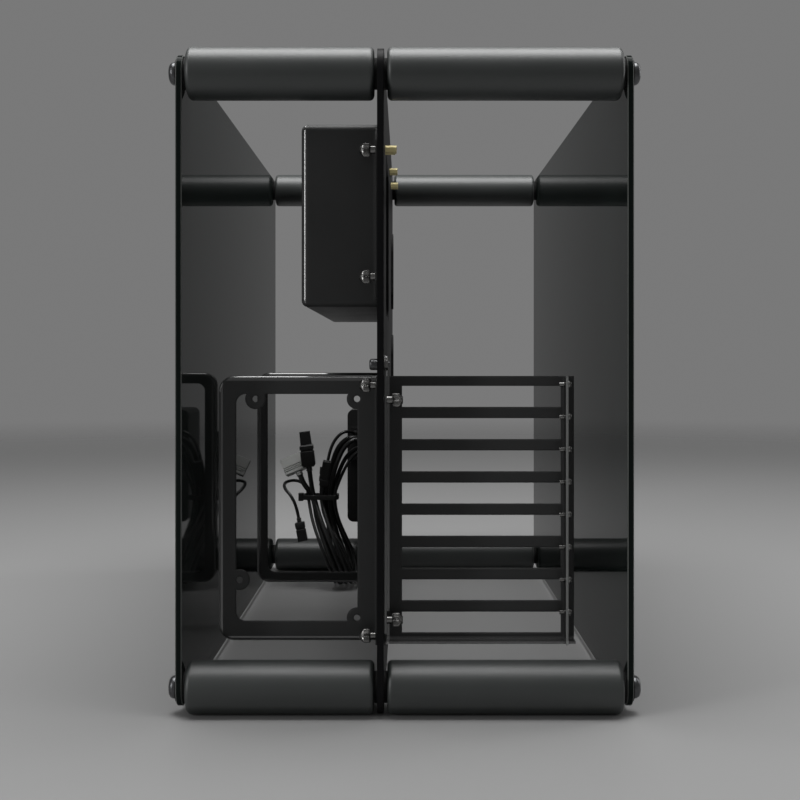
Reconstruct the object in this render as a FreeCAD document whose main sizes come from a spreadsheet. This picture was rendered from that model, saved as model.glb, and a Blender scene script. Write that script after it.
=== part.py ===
import FreeCAD, Part
import math
import os
import re

# An open-frame computer case: two smoked glass sides and a metal middle plate,
# held apart by eight round bars.
# X runs to the right as seen from the back, Y runs from the back to the front, Z is up, in millimetres.
# The origin is on the floor, midway between the glass sides and midway between back and front.

doc = FreeCAD.newDocument("open_frame_case")
sizes = doc.addObject("Spreadsheet::Sheet", "sizes")
places = doc.addObject("Spreadsheet::Sheet", "places")

SIZES = {
    # glass sides, middle plate and bars
    "glass_thickness": 4,
    "glass_depth": 510,
    "glass_height": 396,
    "glass_edge_distance": 11,
    "glass_bevel": 0.6,
    "plate_thickness": 4,
    "plate_edge_distance": 15,
    "bar_diameter": 32,
    "bar_rounding": 3,
    "left_bar_length": 113.5,
    "right_bar_length": 142.5,
    "washer_thickness": 2,
    "washer_diameter": 19,
    "bolt_diameter": 8,
    "bolt_clearance": 0.4,
    "thread_gap": 0.05,
    "bolt_length": 25,
    "bolt_head_diameter": 14,
    "bolt_head_height": 4.4,
    "bolt_head_rounding": 3.4,
    "bolt_key": 5,
    "bolt_key_depth": 2.6,
    "gasket_thickness": 1,
    "gasket_diameter": 17,
    "stud_reach": 18,
    "bore_spare": 2,
    # brackets folded from sheet
    "sheet_thickness": 1.5,
    "bend_radius": 4,
    "flange_depth": 20,
    "flange_chamfer": 9,
    "bracket_setback": 34,
    "bracket_bottom": 38.5,
    "bracket_height": 166.9,
    # expansion slots
    "slot_pitch": 20.32,
    "slot_opening_height": 13.2,
    "slot_opening_start": 10.9,
    "slot_opening_width": 100.1,
    "slot_top_margin": 6.3,
    "slot_bracket_width": 119.2,
    "slot_flange_rise": 12.6,
    "slot_flange_screw_low": 15.5,
    "slot_flange_screw_high": 152.1,
    "ledge_offset": 1.7,
    "ledge_depth": 12,
    "lip_depth": 8,
    "card_screw_thread": 2.8,
    "card_screw_head": 5,
    "card_screw_head_height": 2.6,
    "card_screw_length": 5,
    # screw and nut through the plate above the brackets
    "rear_screw_rise": 7.3,
    "rear_screw_setback": 12,
    "rear_screw_thread": 3.5,
    "rear_screw_head": 7,
    "rear_screw_head_height": 5,
    "rear_screw_rounding": 1.5,
    "rear_screw_overhang": 0.8,
    "rear_nut_across_corners": 7.6,
    "rear_nut_thickness": 2.6,
    # power supply frame and ring
    "supply_frame_width": 101,
    "supply_pan_depth": 11,
    "supply_corner_radius": 10,
    "supply_window_left": 11.3,
    "supply_window_right": 13.2,
    "supply_window_bottom": 12.5,
    "supply_window_top": 11.4,
    "supply_window_corner": 6,
    "supply_width": 86,
    "supply_height": 150,
    "supply_hole_edge": 6,
    "supply_hole_diameter": 4,
    "supply_tab_radius": 6.5,
    "supply_lower_hole_rise": 30,
    "supply_upper_hole_inset": 16,
    "supply_flange_screw_edge": 5.6,
    "ring_setback": 227,
    "ring_rail": 8.5,
    # drive cage
    "cage_width": 48.7,
    "cage_depth": 292,
    "cage_drop": 141,
    "cage_height": 115.3,
    "cage_flange_screw_edge": 18.3,
    "cage_flange_inset": 5,
    "cage_tab_length": 20,
    "cage_tab_height": 12,
    "cage_tab_setback": 24,
    "drive_hole_spacing": 44.45,
    "drive_hole_width": 95.25,
    "drive_hole_diameter": 3.6,
    "first_drive_setback": 66,
    "drive_pitch": 148,
    # thumbscrews and small screws
    "thumb_thread": 3.5,
    "thumb_collar_diameter": 5,
    "thumb_collar_length": 3.2,
    "thumb_head_diameter": 8.3,
    "thumb_head_length": 4.4,
    "thumb_dome_height": 2.4,
    "thumb_tip": 0.4,
    "tab_screw_thread": 3,
    "tab_screw_head": 6,
    "tab_screw_head_height": 2.2,
    # board standoffs on the right of the plate
    "standoff_height": 6.5,
    "standoff_across_corners": 6,
    "standoff_bore": 3,
    "standoff_bore_depth": 5,
    "board_back_setback": 53.4,
    "board_second_column": 124.46,
    "board_third_column": 102.87,
    "board_fourth_column": 79.4,
    "board_top_drop": 16.06,
    "board_top_row": 154.94,
    "board_middle_row": 127,
    "board_back_drop": 22.86,
    # openings in the plate
    "cooler_window_width": 130,
    "cooler_window_height": 112,
    "cooler_window_setback": 84,
    "cooler_window_drop": 127.94,
    "window_corner_radius": 10,
    "cable_slot_length": 62,
    "cable_slot_width": 28,
    "cable_slot_setback": 389,
    "cable_slot_low": 110,
    "cable_slot_pitch": 94,
    "grommet_wall": 2.5,
    "grommet_lip": 4,
    "grommet_lip_thickness": 2,
    "grommet_to_control_box": 36,
    # control box at the front of the plate
    "control_box_width": 39.5,
    "control_box_depth": 59,
    "control_box_bottom": 57,
    "control_box_height": 110,
    "control_box_wall": 2,
    "control_box_corner": 6,
    "control_box_inset": 67,
    "control_tab_length": 20,
    "control_tab_height": 10,
    "face_thickness": 3,
    "board_thickness": 1.6,
    "board_gap": 0.5,
    "board_stand_off": 17,
    "post_diameter": 6,
    "post_inset": 4.5,
    "post_screw_thread": 2.2,
    "post_screw_head": 4,
    "post_screw_head_height": 1.6,
    "post_screw_length": 6,
    "button_gap": 0.3,
    "button_travel": 1.2,
    "button_flange": 1.5,
    "button_flange_thickness": 1.4,
    "power_button_diameter": 15,
    "power_button_height": 92,
    "reset_button_diameter": 6,
    "reset_button_height": 72,
    "button_stem": 4,
    "switch_side": 6,
    "switch_height": 4,
    "light_diameter": 3,
    "light_height": 79,
    "light_offset": 9,
    "port_gap": 0.25,
    "usb_width": 14,
    "usb_height": 6.6,
    "usb_low": 40,
    "usb_pitch": 14,
    "usb_wall": 0.7,
    "usb_tongue": 1.9,
    "usb_cavity_depth": 12,
    "usb_c_width": 9.4,
    "usb_c_height": 3.6,
    "usb_c_centre": 28,
    "audio_diameter": 7,
    "audio_bore": 3.7,
    "audio_bore_depth": 14,
    "audio_low": 9,
    "audio_pitch": 9.5,
    # gland, leads and tie
    "gland_thickness": 4,
    "gland_width": 36,
    "gland_height": 32,
    "gland_bottom": 61,
    "usb_lead_diameter": 5,
    "usb_c_lead_diameter": 4.5,
    "audio_lead_diameter": 4,
    "power_lead_diameter": 3,
    "light_lead_diameter": 3,
    "tie_thickness": 1.4,
    "tie_width": 4.5,
    "tie_sideways": 63.33,
    "tie_inwards": 25.37,
    "tie_bottom": 83,
    "tie_inside_width": 31.1,
    "tie_inside_depth": 17.8,
    "tie_corner_radius": 3,
    "plug_neck_wall": 0.8,
    "plug_neck_length": 4,
    "power_plug_width": 9,
    "power_plug_thickness": 5.5,
    "power_plug_length": 18,
    "usb_plug_width": 25,
    "usb_plug_thickness": 8,
    "usb_plug_length": 17,
    "usb_c_plug_width": 13,
    "usb_c_plug_thickness": 7,
    "usb_c_plug_length": 34,
    "audio_plug_width": 8,
    "audio_plug_thickness": 6,
    "audio_plug_length": 24,
    "light_plug_width": 5,
    "light_plug_thickness": 5,
    "light_plug_length": 14,
}

PLACES = {
    "half_gap": "(left_bar_length + right_bar_length + plate_thickness) / 2 + 2 * washer_thickness",
    "glass_outside": "half_gap + glass_thickness",
    "plate_left": "2 * washer_thickness + left_bar_length - half_gap",
    "plate_right": "plate_left + plate_thickness",
    "bar_front": "glass_depth / 2 - glass_edge_distance",
    "bar_rear": "-bar_front",
    "bar_bottom": "bar_diameter / 2",
    "bar_top": "bar_bottom + glass_height - 2 * glass_edge_distance",
    "back": "-glass_depth / 2",
    "bracket_face": "back + bracket_setback",
    "bracket_top": "bracket_bottom + bracket_height",
    "slot_right": "plate_right + slot_bracket_width",
    "ledge_inside": "plate_right + slot_opening_start + slot_opening_width + ledge_offset",
    "first_slot": "bracket_top - slot_top_margin - slot_opening_height / 2",
    "supply_left": "plate_left - supply_frame_width",
    "supply_middle_x": "plate_left - supply_frame_width / 2",
    "supply_middle_z": "bracket_bottom + bracket_height / 2",
    "ring_face": "back + ring_setback",
    "cage_left": "plate_left - cage_width",
    "cage_bottom": "bar_top - cage_drop",
    "cage_top": "cage_bottom + cage_height",
    "cage_front": "bracket_face + cage_depth",
    "board_top": "bar_top - board_top_drop",
    "cooler_window_bottom": "board_top - cooler_window_drop",
    "control_left": "plate_left - control_box_width",
    "control_back": "glass_depth / 2 - control_box_inset",
    "control_front": "control_back + control_box_depth",
    "control_face": "control_front + face_thickness",
    "control_top": "control_box_bottom + control_box_height",
    "control_middle": "plate_left - control_box_width / 2",
    "control_board": "control_front - board_stand_off",
    "gland_face": "control_back - gland_thickness",
}


def expression(formula):
    """Write a formula so that each named value is read from its sheet."""

    def cell(found):
        word = found.group(0)
        if word in SIZES:
            return "sizes." + word
        return "places." + word if word in PLACES else word

    return re.sub(r"[a-z][a-z_]*", cell, str(formula))


for row, (alias, value) in enumerate(SIZES.items(), 1):
    sizes.set(f"A{row}", alias)
    sizes.set(f"B{row}", str(value))
    sizes.setAlias(f"B{row}", alias)
doc.recompute()
for row, (alias, formula) in enumerate(PLACES.items(), 1):
    places.set(f"A{row}", alias)
    places.set(f"B{row}", "=" + expression(formula))
    places.setAlias(f"B{row}", alias)
    doc.recompute()


def number(name):
    """Read a named value from its sheet."""
    return float((sizes if name in SIZES else places).get(name))


def bind(item, **formulas):
    """Tie the properties of an object to formulas of named values."""
    for path, formula in formulas.items():
        item.setExpression(path.replace("__", "."), expression(formula))


def box(x, y, z):
    """Make a block from a (start, end) pair of formulas on each axis."""
    item = doc.addObject("Part::Box", "block")
    bind(item, Length=f"({x[1]}) - ({x[0]})", Width=f"({y[1]}) - ({y[0]})", Height=f"({z[1]}) - ({z[0]})")
    bind(item, Placement__Base__x=x[0], Placement__Base__y=y[0], Placement__Base__z=z[0])
    return item


TURNS = {
    "x": FreeCAD.Rotation(FreeCAD.Vector(0, 1, 0), 90),
    "y": FreeCAD.Rotation(FreeCAD.Vector(1, 0, 0), -90),
    "z": FreeCAD.Rotation(),
}


def lay(item, axis, start, first, second):
    """Lay a turned piece along an axis, from start, with its centre at the two other coordinates."""
    item.Placement = FreeCAD.Placement(FreeCAD.Vector(), TURNS[axis])
    centre = {"x": (start, first, second), "y": (first, start, second), "z": (first, second, start)}[axis]
    bind(item, Placement__Base__x=centre[0], Placement__Base__y=centre[1], Placement__Base__z=centre[2])
    return item


def rod(axis, diameter, span, first, second):
    """Make a cylinder along an axis from span[0] to span[1]."""
    item = doc.addObject("Part::Cylinder", "rod")
    bind(item, Radius=f"({diameter}) / 2", Height=f"({span[1]}) - ({span[0]})")
    return lay(item, axis, span[0], first, second)


def hexagon(axis, across_corners, span, first, second):
    """Make a hexagonal prism along an axis from span[0] to span[1]."""
    item = doc.addObject("Part::Prism", "hexagon")
    item.Polygon = 6
    bind(item, Circumradius=f"({across_corners}) / 2", Height=f"({span[1]}) - ({span[0]})")
    return lay(item, axis, span[0], first, second)


def fuse(*items):
    """Join solids into one."""
    item = doc.addObject("Part::MultiFuse", "joined")
    item.Shapes = list(items)
    item.Refine = True
    return item


def group(*items):
    """Keep separate solids together in one object."""
    item = doc.addObject("Part::Compound", "group")
    item.Links = list(items)
    return item


def cut(base, *tools):
    """Take solids that stay apart from each other out of a base."""
    item = doc.addObject("Part::Cut", "cut")
    item.Base = base
    item.Tool = tools[0] if len(tools) == 1 else group(*tools)
    item.Refine = True
    return item


def treat(kind, base, size, wanted):
    """Fillet or chamfer the edges whose direction and middle pass the test."""
    doc.recompute()
    found = []
    for index, edge in enumerate(base.Shape.Edges, 1):
        middle = edge.BoundBox.Center
        if wanted(edge, middle):
            found.append((index, size, size))
    if not found:
        raise RuntimeError(f"no edge found to treat on {base.Name}")
    item = doc.addObject(f"Part::{kind}", kind.lower())
    item.Base = base
    item.Edges = found
    return item


def along(edge, axis):
    """Say whether a straight edge runs along an axis."""
    if not isinstance(edge.Curve, Part.Line):
        return False
    return abs(getattr(edge.Curve.Direction, axis)) > 0.999


def near(a, b):
    """Say whether two lengths agree."""
    return abs(a - b) < 0.01


pieces = {}


def piece(name, item):
    """Keep a finished sub-part under its name."""
    item.Label = name
    pieces[name] = item


CORNERS = [(level, end) for level in ("bottom", "top") for end in ("rear", "front")]
BOLT_BORE = "bolt_diameter + 2 * bolt_clearance"
TAPPED_BORE = "bolt_diameter + 2 * thread_gap"


def rounded_panel(x, edge_distance):
    """Make an upright panel whose rounded corners are centred on the bars."""
    y = (f"bar_rear - ({edge_distance})", f"bar_front + {edge_distance}")
    z = (f"bar_bottom - ({edge_distance})", f"bar_top + {edge_distance}")
    blank = box(x, y, z)
    return treat("Fillet", blank, number(edge_distance), lambda edge, middle: along(edge, "x"))


def corner_holes(diameter, span):
    """Make the four drills or pieces centred on the bars."""
    return [rod("x", diameter, span, f"bar_{end}", f"bar_{level}") for level, end in CORNERS]


# glass sides, each with four bolt holes and a fine bevel all round
GLASS_SPANS = {
    "left": ("-glass_outside", "-half_gap"),
    "right": ("half_gap", "glass_outside"),
}
for side, span in GLASS_SPANS.items():
    panel = rounded_panel(span, "glass_edge_distance")
    bevelled = treat("Chamfer", panel, number("glass_bevel"), lambda edge, middle: not along(edge, "x"))
    piece(f"{side}_glass_panel", cut(bevelled, *corner_holes(BOLT_BORE, span)))

# bars, threaded at both ends
BARS = {
    "left": ("plate_left - washer_thickness - left_bar_length", "plate_left - washer_thickness"),
    "right": ("plate_right + washer_thickness", "plate_right + washer_thickness + right_bar_length"),
}
BOLT_BORE_DEPTH = "bolt_length - gasket_thickness - glass_thickness - washer_thickness + bore_spare"
STUD_BORE_DEPTH = "stud_reach + bore_spare"
for side, span in BARS.items():
    depths = (BOLT_BORE_DEPTH, STUD_BORE_DEPTH) if side == "left" else (STUD_BORE_DEPTH, BOLT_BORE_DEPTH)
    for level, end in CORNERS:
        place = (f"bar_{end}", f"bar_{level}")
        blank = rod("x", "bar_diameter", span, *place)
        rounded = treat("Fillet", blank, number("bar_rounding"), lambda edge, middle: not along(edge, "x"))
        first_bore = rod("x", TAPPED_BORE, (span[0], f"{span[0]} + {depths[0]}"), *place)
        second_bore = rod("x", TAPPED_BORE, (f"{span[1]} - ({depths[1]})", span[1]), *place)
        piece(f"{side}_{level}_{end}_bar", cut(rounded, first_bore, second_bore))

# soft washers at both ends of every bar
WASHERS = {
    "left_glass_washers": ("-half_gap", "-half_gap + washer_thickness"),
    "left_plate_washers": ("plate_left - washer_thickness", "plate_left"),
    "right_plate_washers": ("plate_right", "plate_right + washer_thickness"),
    "right_glass_washers": ("half_gap - washer_thickness", "half_gap"),
}
for name, span in WASHERS.items():
    discs = corner_holes("washer_diameter", span)
    holes = corner_holes(BOLT_BORE, span)
    piece(name, group(*[cut(disc, hole) for disc, hole in zip(discs, holes)]))

# dome-head bolts outside the glass, each on a gasket
GASKETS = {
    "left": ("-glass_outside - gasket_thickness", "-glass_outside"),
    "right": ("glass_outside", "glass_outside + gasket_thickness"),
}
gaskets = []
for side, span in GASKETS.items():
    discs = corner_holes("gasket_diameter", span)
    holes = corner_holes(BOLT_BORE, span)
    gaskets += [cut(disc, hole) for disc, hole in zip(discs, holes)]
    if side == "left":
        head_span = (f"{span[0]} - bolt_head_height", span[0])
        shank_span = (span[0], f"{span[0]} + bolt_length")
        key_span = (head_span[0], f"{head_span[0]} + bolt_key_depth")
        tip = -number("glass_outside") - number("gasket_thickness") - number("bolt_head_height")
    else:
        head_span = (span[1], f"{span[1]} + bolt_head_height")
        shank_span = (f"{span[1]} - bolt_length", span[1])
        key_span = (f"{head_span[1]} - bolt_key_depth", head_span[1])
        tip = number("glass_outside") + number("gasket_thickness") + number("bolt_head_height")
    bolts = []
    for level, end in CORNERS:
        place = (f"bar_{end}", f"bar_{level}")
        head = rod("x", "bolt_head_diameter", head_span, *place)
        domed = treat(
            "Fillet", head, number("bolt_head_rounding"), lambda edge, middle: near(middle.x, tip)
        )
        key = hexagon("x", "bolt_key / cos(30 deg)", key_span, *place)
        bolts.append(fuse(cut(domed, key), rod("x", "bolt_diameter", shank_span, *place)))
    piece(f"{side}_panel_bolts", group(*bolts))
piece("bolt_gaskets", group(*gaskets))

# studs that join the left and right bars through the plate
STUD_SPAN = ("plate_left - washer_thickness - stud_reach", "plate_right + washer_thickness + stud_reach")
piece("joining_studs", group(*corner_holes("bolt_diameter", STUD_SPAN)))


def thumbscrews(side, seat, spots):
    """Make screws with a round grip whose threads go through a flange into the plate."""
    outward = "-" if side == "left" else "+"
    tip = "plate_right - thumb_tip" if side == "left" else "plate_left + thumb_tip"
    collar_end = f"{seat} {outward} thumb_collar_length"
    grip_end = f"{collar_end} {outward} thumb_head_length"
    dome_end = f"{grip_end} {outward} thumb_dome_height"
    wide, narrow = "thumb_head_diameter / 2", "thumb_head_diameter / 4"

    def outwards(start, end):
        return (end, start) if side == "left" else (start, end)

    made = []
    for y, z in spots:
        thread = rod("x", "thumb_thread", outwards(tip, seat), y, z)
        collar = rod("x", "thumb_collar_diameter", outwards(seat, collar_end), y, z)
        grip = rod("x", "thumb_head_diameter", outwards(collar_end, grip_end), y, z)
        dome = doc.addObject("Part::Cone", "dome")
        radii = (narrow, wide) if side == "left" else (wide, narrow)
        bind(dome, Radius1=radii[0], Radius2=radii[1], Height="thumb_dome_height")
        lay(dome, "x", outwards(grip_end, dome_end)[0], y, z)
        made.append(fuse(thread, collar, grip, dome))
    return group(*made)


def thread_holes(diameter, span, spots):
    """Make the drills for a row of screws that run along X."""
    return [rod("x", f"{diameter} + 2 * thread_gap", span, y, z) for y, z in spots]


FLANGE_MIDDLE = "{} - flange_depth / 2"
PLATE_SPAN = ("plate_left", "plate_right")
LEFT_FLANGE = ("plate_left - sheet_thickness", "plate_left")
RIGHT_FLANGE = ("plate_right", "plate_right + sheet_thickness")
LEFT_SEAT = "plate_left - sheet_thickness"
RIGHT_SEAT = "plate_right + sheet_thickness"
plate_drills = corner_holes(BOLT_BORE, PLATE_SPAN)


def flange(x, face, z):
    """Make the flange that is folded back towards the rear and lies on the plate."""
    blank = box(x, (f"{face} - flange_depth", face), z)
    rear = number(face) - number("flange_depth")

    def wanted(edge, middle):
        return along(edge, "x") and near(middle.y, rear)

    return treat("Chamfer", blank, number("flange_chamfer"), wanted)


# expansion slot bracket on the right of the plate
SLOT_COUNT = 8
slot_face = box(("plate_right", "slot_right"), ("bracket_face", "bracket_face + sheet_thickness"),
                ("bracket_bottom", "bracket_top"))
slot_windows = []
for index in range(SLOT_COUNT):
    middle_z = f"first_slot - {index} * slot_pitch"
    slot_windows.append(box(
        ("plate_right + slot_opening_start", "plate_right + slot_opening_start + slot_opening_width"),
        ("bracket_face", "bracket_face + sheet_thickness"),
        (f"{middle_z} - slot_opening_height / 2", f"{middle_z} + slot_opening_height / 2"),
    ))
slot_flange = flange(RIGHT_FLANGE, "bracket_face", ("bracket_bottom", "bracket_top + slot_flange_rise"))
slot_root = box(RIGHT_FLANGE, ("bracket_face", "bracket_face + sheet_thickness"),
                ("bracket_bottom", "bracket_top + slot_flange_rise"))
ledge_x = ("ledge_inside", "ledge_inside + sheet_thickness")
slot_ledge = box(ledge_x, ("bracket_face - ledge_depth", "bracket_face"), ("bracket_bottom", "bracket_top"))
slot_lip = box((RIGHT_SEAT, "slot_right"), ("bracket_face - lip_depth", "bracket_face"),
               ("bracket_bottom", "bracket_bottom + sheet_thickness"))
card_spots = [
    ("bracket_face - ledge_depth / 2", f"first_slot + (0.5 - {index}) * slot_pitch - card_screw_head / 2")
    for index in range(SLOT_COUNT)
]
slot_spots = [
    (FLANGE_MIDDLE.format("bracket_face"), f"bracket_bottom + slot_flange_screw_{level}")
    for level in ("low", "high")
]
slot_body = fuse(cut(slot_face, *slot_windows), slot_flange, slot_root, slot_ledge, slot_lip)
slot_drills = thread_holes("card_screw_thread", ledge_x, card_spots)
slot_drills += thread_holes("thumb_thread", RIGHT_FLANGE, slot_spots)
piece("slot_bracket", cut(slot_body, *slot_drills))
piece("slot_bracket_thumbscrews", thumbscrews("right", RIGHT_SEAT, slot_spots))
plate_drills += thread_holes("thumb_thread", PLATE_SPAN, slot_spots)
card_screws = []
for y, z in card_spots:
    head = rod("x", "card_screw_head", (ledge_x[1], f"{ledge_x[1]} + card_screw_head_height"), y, z)
    thread = rod("x", "card_screw_thread", (f"{ledge_x[1]} - card_screw_length", ledge_x[1]), y, z)
    card_screws.append(fuse(head, thread))
piece("card_screws", group(*card_screws))


# screw through the plate just above the brackets, with its head on the left and a nut on the right
REAR_SPOT = ("back + rear_screw_setback", "bracket_top + rear_screw_rise")
NUT_SPAN = ("plate_right", "plate_right + rear_nut_thickness")
rear_head = rod("x", "rear_screw_head", ("plate_left - rear_screw_head_height", "plate_left"), *REAR_SPOT)
rear_tip = number("plate_left") - number("rear_screw_head_height")
rounded_head = treat(
    "Fillet", rear_head, number("rear_screw_rounding"), lambda edge, middle: near(middle.x, rear_tip)
)
rear_thread = rod("x", "rear_screw_thread", ("plate_left", f"{NUT_SPAN[1]} + rear_screw_overhang"), *REAR_SPOT)
piece("rear_screw", fuse(rounded_head, rear_thread))
rear_nut = hexagon("x", "rear_nut_across_corners", NUT_SPAN, *REAR_SPOT)
piece("rear_screw_nut", cut(rear_nut, *thread_holes("rear_screw_thread", NUT_SPAN, [REAR_SPOT])))
plate_drills += thread_holes("rear_screw_thread", PLATE_SPAN, [REAR_SPOT])


def pan(face, depth, window):
    """Make the folded pan of the power supply frame or ring, with its window cut out."""
    outline = (("supply_left", "plate_left"), (face, f"{face} + {depth}"), ("bracket_bottom", "bracket_top"))
    blank = box(*outline)
    left = number("supply_left")
    cornered = treat(
        "Fillet", blank, number("supply_corner_radius"),
        lambda edge, middle: along(edge, "y") and near(middle.x, left),
    )
    rear = number(face)
    right = number("plate_left")
    folded = treat(
        "Fillet", cornered, number("bend_radius") / 2,
        lambda edge, middle: near(middle.y, rear) and not near(middle.x, right),
    )
    hollow = box(
        ("supply_left + sheet_thickness", "plate_left"),
        (f"{face} + sheet_thickness", f"{face} + {depth}"),
        ("bracket_bottom + sheet_thickness", "bracket_top - sheet_thickness"),
    )
    inside = number("supply_left") + number("sheet_thickness")
    rounded_hollow = treat(
        "Fillet", hollow, number("supply_corner_radius") - number("sheet_thickness"),
        lambda edge, middle: along(edge, "y") and near(middle.x, inside),
    )
    return cut(cut(folded, rounded_hollow), window)


def window_block(face, x, z):
    """Make the drill for a window with rounded corners in a face across Y."""
    blank = box(x, (face, f"{face} + sheet_thickness"), z)
    return treat("Fillet", blank, number("supply_window_corner"), lambda edge, middle: along(edge, "y"))


def supply_spots(y):
    """Give the two thumbscrew places of the power supply frame or ring."""
    middle = FLANGE_MIDDLE.format(y)
    low, high = "bracket_bottom + supply_flange_screw_edge", "bracket_top - supply_flange_screw_edge"
    return [(middle, low), (middle, high)]


# power supply frame: a pan with a window and tabs for the supply's four screws
frame_window = window_block(
    "bracket_face",
    ("supply_left + supply_window_left", "plate_left - supply_window_right"),
    ("bracket_bottom + supply_window_bottom", "bracket_top - supply_window_top"),
)
near_x = "supply_middle_x + supply_width / 2 - supply_hole_edge"
far_x = "supply_middle_x - supply_width / 2 + supply_hole_edge"
high_z = "supply_middle_z + supply_height / 2 - supply_hole_edge"
low_z = "supply_middle_z - supply_height / 2 + supply_hole_edge"
supply_holes = [
    (near_x, high_z),
    (near_x, low_z),
    (f"{far_x} + supply_upper_hole_inset - supply_hole_edge", high_z),
    (far_x, f"{low_z} + supply_lower_hole_rise - supply_hole_edge"),
]
FACE_SPAN = ("bracket_face", "bracket_face + sheet_thickness")
tabs = [rod("y", "2 * supply_tab_radius", FACE_SPAN, x, z) for x, z in supply_holes]
screw_holes = [rod("y", "supply_hole_diameter", FACE_SPAN, x, z) for x, z in supply_holes]
frame_pan = pan("bracket_face", "supply_pan_depth", frame_window)
frame_flange = flange(LEFT_FLANGE, "bracket_face", ("bracket_bottom", "bracket_top"))
frame_root = box(LEFT_FLANGE, FACE_SPAN, ("bracket_bottom", "bracket_top"))
frame_spots = supply_spots("bracket_face")
frame_body = fuse(frame_pan, frame_flange, frame_root, *tabs)
frame_drills = screw_holes + thread_holes("thumb_thread", LEFT_FLANGE, frame_spots)
piece("supply_frame", cut(frame_body, *frame_drills))
piece("supply_frame_thumbscrews", thumbscrews("left", LEFT_SEAT, frame_spots))
plate_drills += thread_holes("thumb_thread", PLATE_SPAN, frame_spots)

# deeper ring that carries the power supply's other end
ring_window = window_block(
    "ring_face",
    ("supply_left + ring_rail", "plate_left - ring_rail"),
    ("bracket_bottom + ring_rail", "bracket_top - ring_rail"),
)
ring_pan = pan("ring_face", "supply_pan_depth", ring_window)
ring_flange = flange(LEFT_FLANGE, "ring_face", ("bracket_bottom", "bracket_top"))
ring_root = box(LEFT_FLANGE, ("ring_face", "ring_face + sheet_thickness"), ("bracket_bottom", "bracket_top"))
ring_spots = supply_spots("ring_face")
ring_body = fuse(ring_pan, ring_flange, ring_root)
piece("supply_ring", cut(ring_body, *thread_holes("thumb_thread", LEFT_FLANGE, ring_spots)))
piece("supply_ring_thumbscrews", thumbscrews("left", LEFT_SEAT, ring_spots))
plate_drills += thread_holes("thumb_thread", PLATE_SPAN, ring_spots)


def tab_screws(spots):
    """Make low-head screws that hold a tab on the left of the plate."""
    made = []
    for y, z in spots:
        head = rod("x", "tab_screw_head", (f"{LEFT_SEAT} - tab_screw_head_height", LEFT_SEAT), y, z)
        thread = rod("x", "tab_screw_thread", (LEFT_SEAT, "plate_right"), y, z)
        made.append(fuse(head, thread))
    return group(*made)


# drive cage: a tray folded from sheet, open towards the plate and at its front end
cage_blank = box(("cage_left", "plate_left"), ("bracket_face", "cage_front"), ("cage_bottom", "cage_top"))
cage_side = number("cage_left")
cage_rear = number("bracket_face")
cage_levels = (number("cage_bottom"), number("cage_top"))


def cage_fold(offset):
    """Test for the folds of the cage, or of its inside at a wall's distance."""

    def wanted(edge, middle):
        on_side = near(middle.x, cage_side + offset)
        on_rear = near(middle.y, cage_rear + offset)
        on_level = near(middle.z, cage_levels[0] + offset) or near(middle.z, cage_levels[1] - offset)
        return on_side + on_rear + on_level == 2

    return wanted


cage_folded = treat("Fillet", cage_blank, number("bend_radius"), cage_fold(0))
wall = number("sheet_thickness")
cage_hollow = box(
    ("cage_left + sheet_thickness", "plate_left"),
    ("bracket_face + sheet_thickness", "cage_front"),
    ("cage_bottom + sheet_thickness", "cage_top - sheet_thickness"),
)
cage_inside = treat("Fillet", cage_hollow, number("bend_radius") - wall, cage_fold(wall))
cage_flange = flange(
    LEFT_FLANGE, "bracket_face", ("cage_bottom + cage_flange_inset", "cage_top - cage_flange_inset")
)
cage_root = box(LEFT_FLANGE, FACE_SPAN, ("cage_bottom + bend_radius", "cage_top - bend_radius"))
tab_y = ("cage_front - cage_tab_setback - cage_tab_length", "cage_front - cage_tab_setback")
cage_tabs = [
    box(LEFT_FLANGE, tab_y, ("cage_bottom - cage_tab_height", "cage_bottom + sheet_thickness")),
    box(LEFT_FLANGE, tab_y, ("cage_top - sheet_thickness", "cage_top + cage_tab_height")),
]
cage_spots = [
    (FLANGE_MIDDLE.format("bracket_face"), "cage_bottom + cage_flange_screw_edge"),
    (FLANGE_MIDDLE.format("bracket_face"), "cage_top - cage_flange_screw_edge"),
]
tab_middle = "cage_front - cage_tab_setback - cage_tab_length / 2"
cage_tab_spots = [
    (tab_middle, "cage_bottom - cage_tab_height / 2"),
    (tab_middle, "cage_top + cage_tab_height / 2"),
]
drive_drills = []
CAGE_WALL = ("cage_left", "cage_left + sheet_thickness")
for drive in range(2):
    first_y = f"bracket_face + first_drive_setback + {drive} * drive_pitch"
    for y in (first_y, f"{first_y} + drive_hole_spacing"):
        for sign in "-+":
            z = f"cage_bottom + cage_height / 2 {sign} drive_hole_width / 2"
            drive_drills.append(rod("x", "drive_hole_diameter", CAGE_WALL, y, z))
cage_body = fuse(cut(cage_folded, cage_inside), cage_flange, cage_root, *cage_tabs)
cage_drills = drive_drills + thread_holes("thumb_thread", LEFT_FLANGE, cage_spots)
cage_drills += thread_holes("tab_screw_thread", LEFT_FLANGE, cage_tab_spots)
piece("drive_cage", cut(cage_body, *cage_drills))
piece("drive_cage_thumbscrews", thumbscrews("left", LEFT_SEAT, cage_spots))
piece("drive_cage_tab_screws", tab_screws(cage_tab_spots))
plate_drills += thread_holes("thumb_thread", PLATE_SPAN, cage_spots)
plate_drills += thread_holes("tab_screw_thread", PLATE_SPAN, cage_tab_spots)

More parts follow.
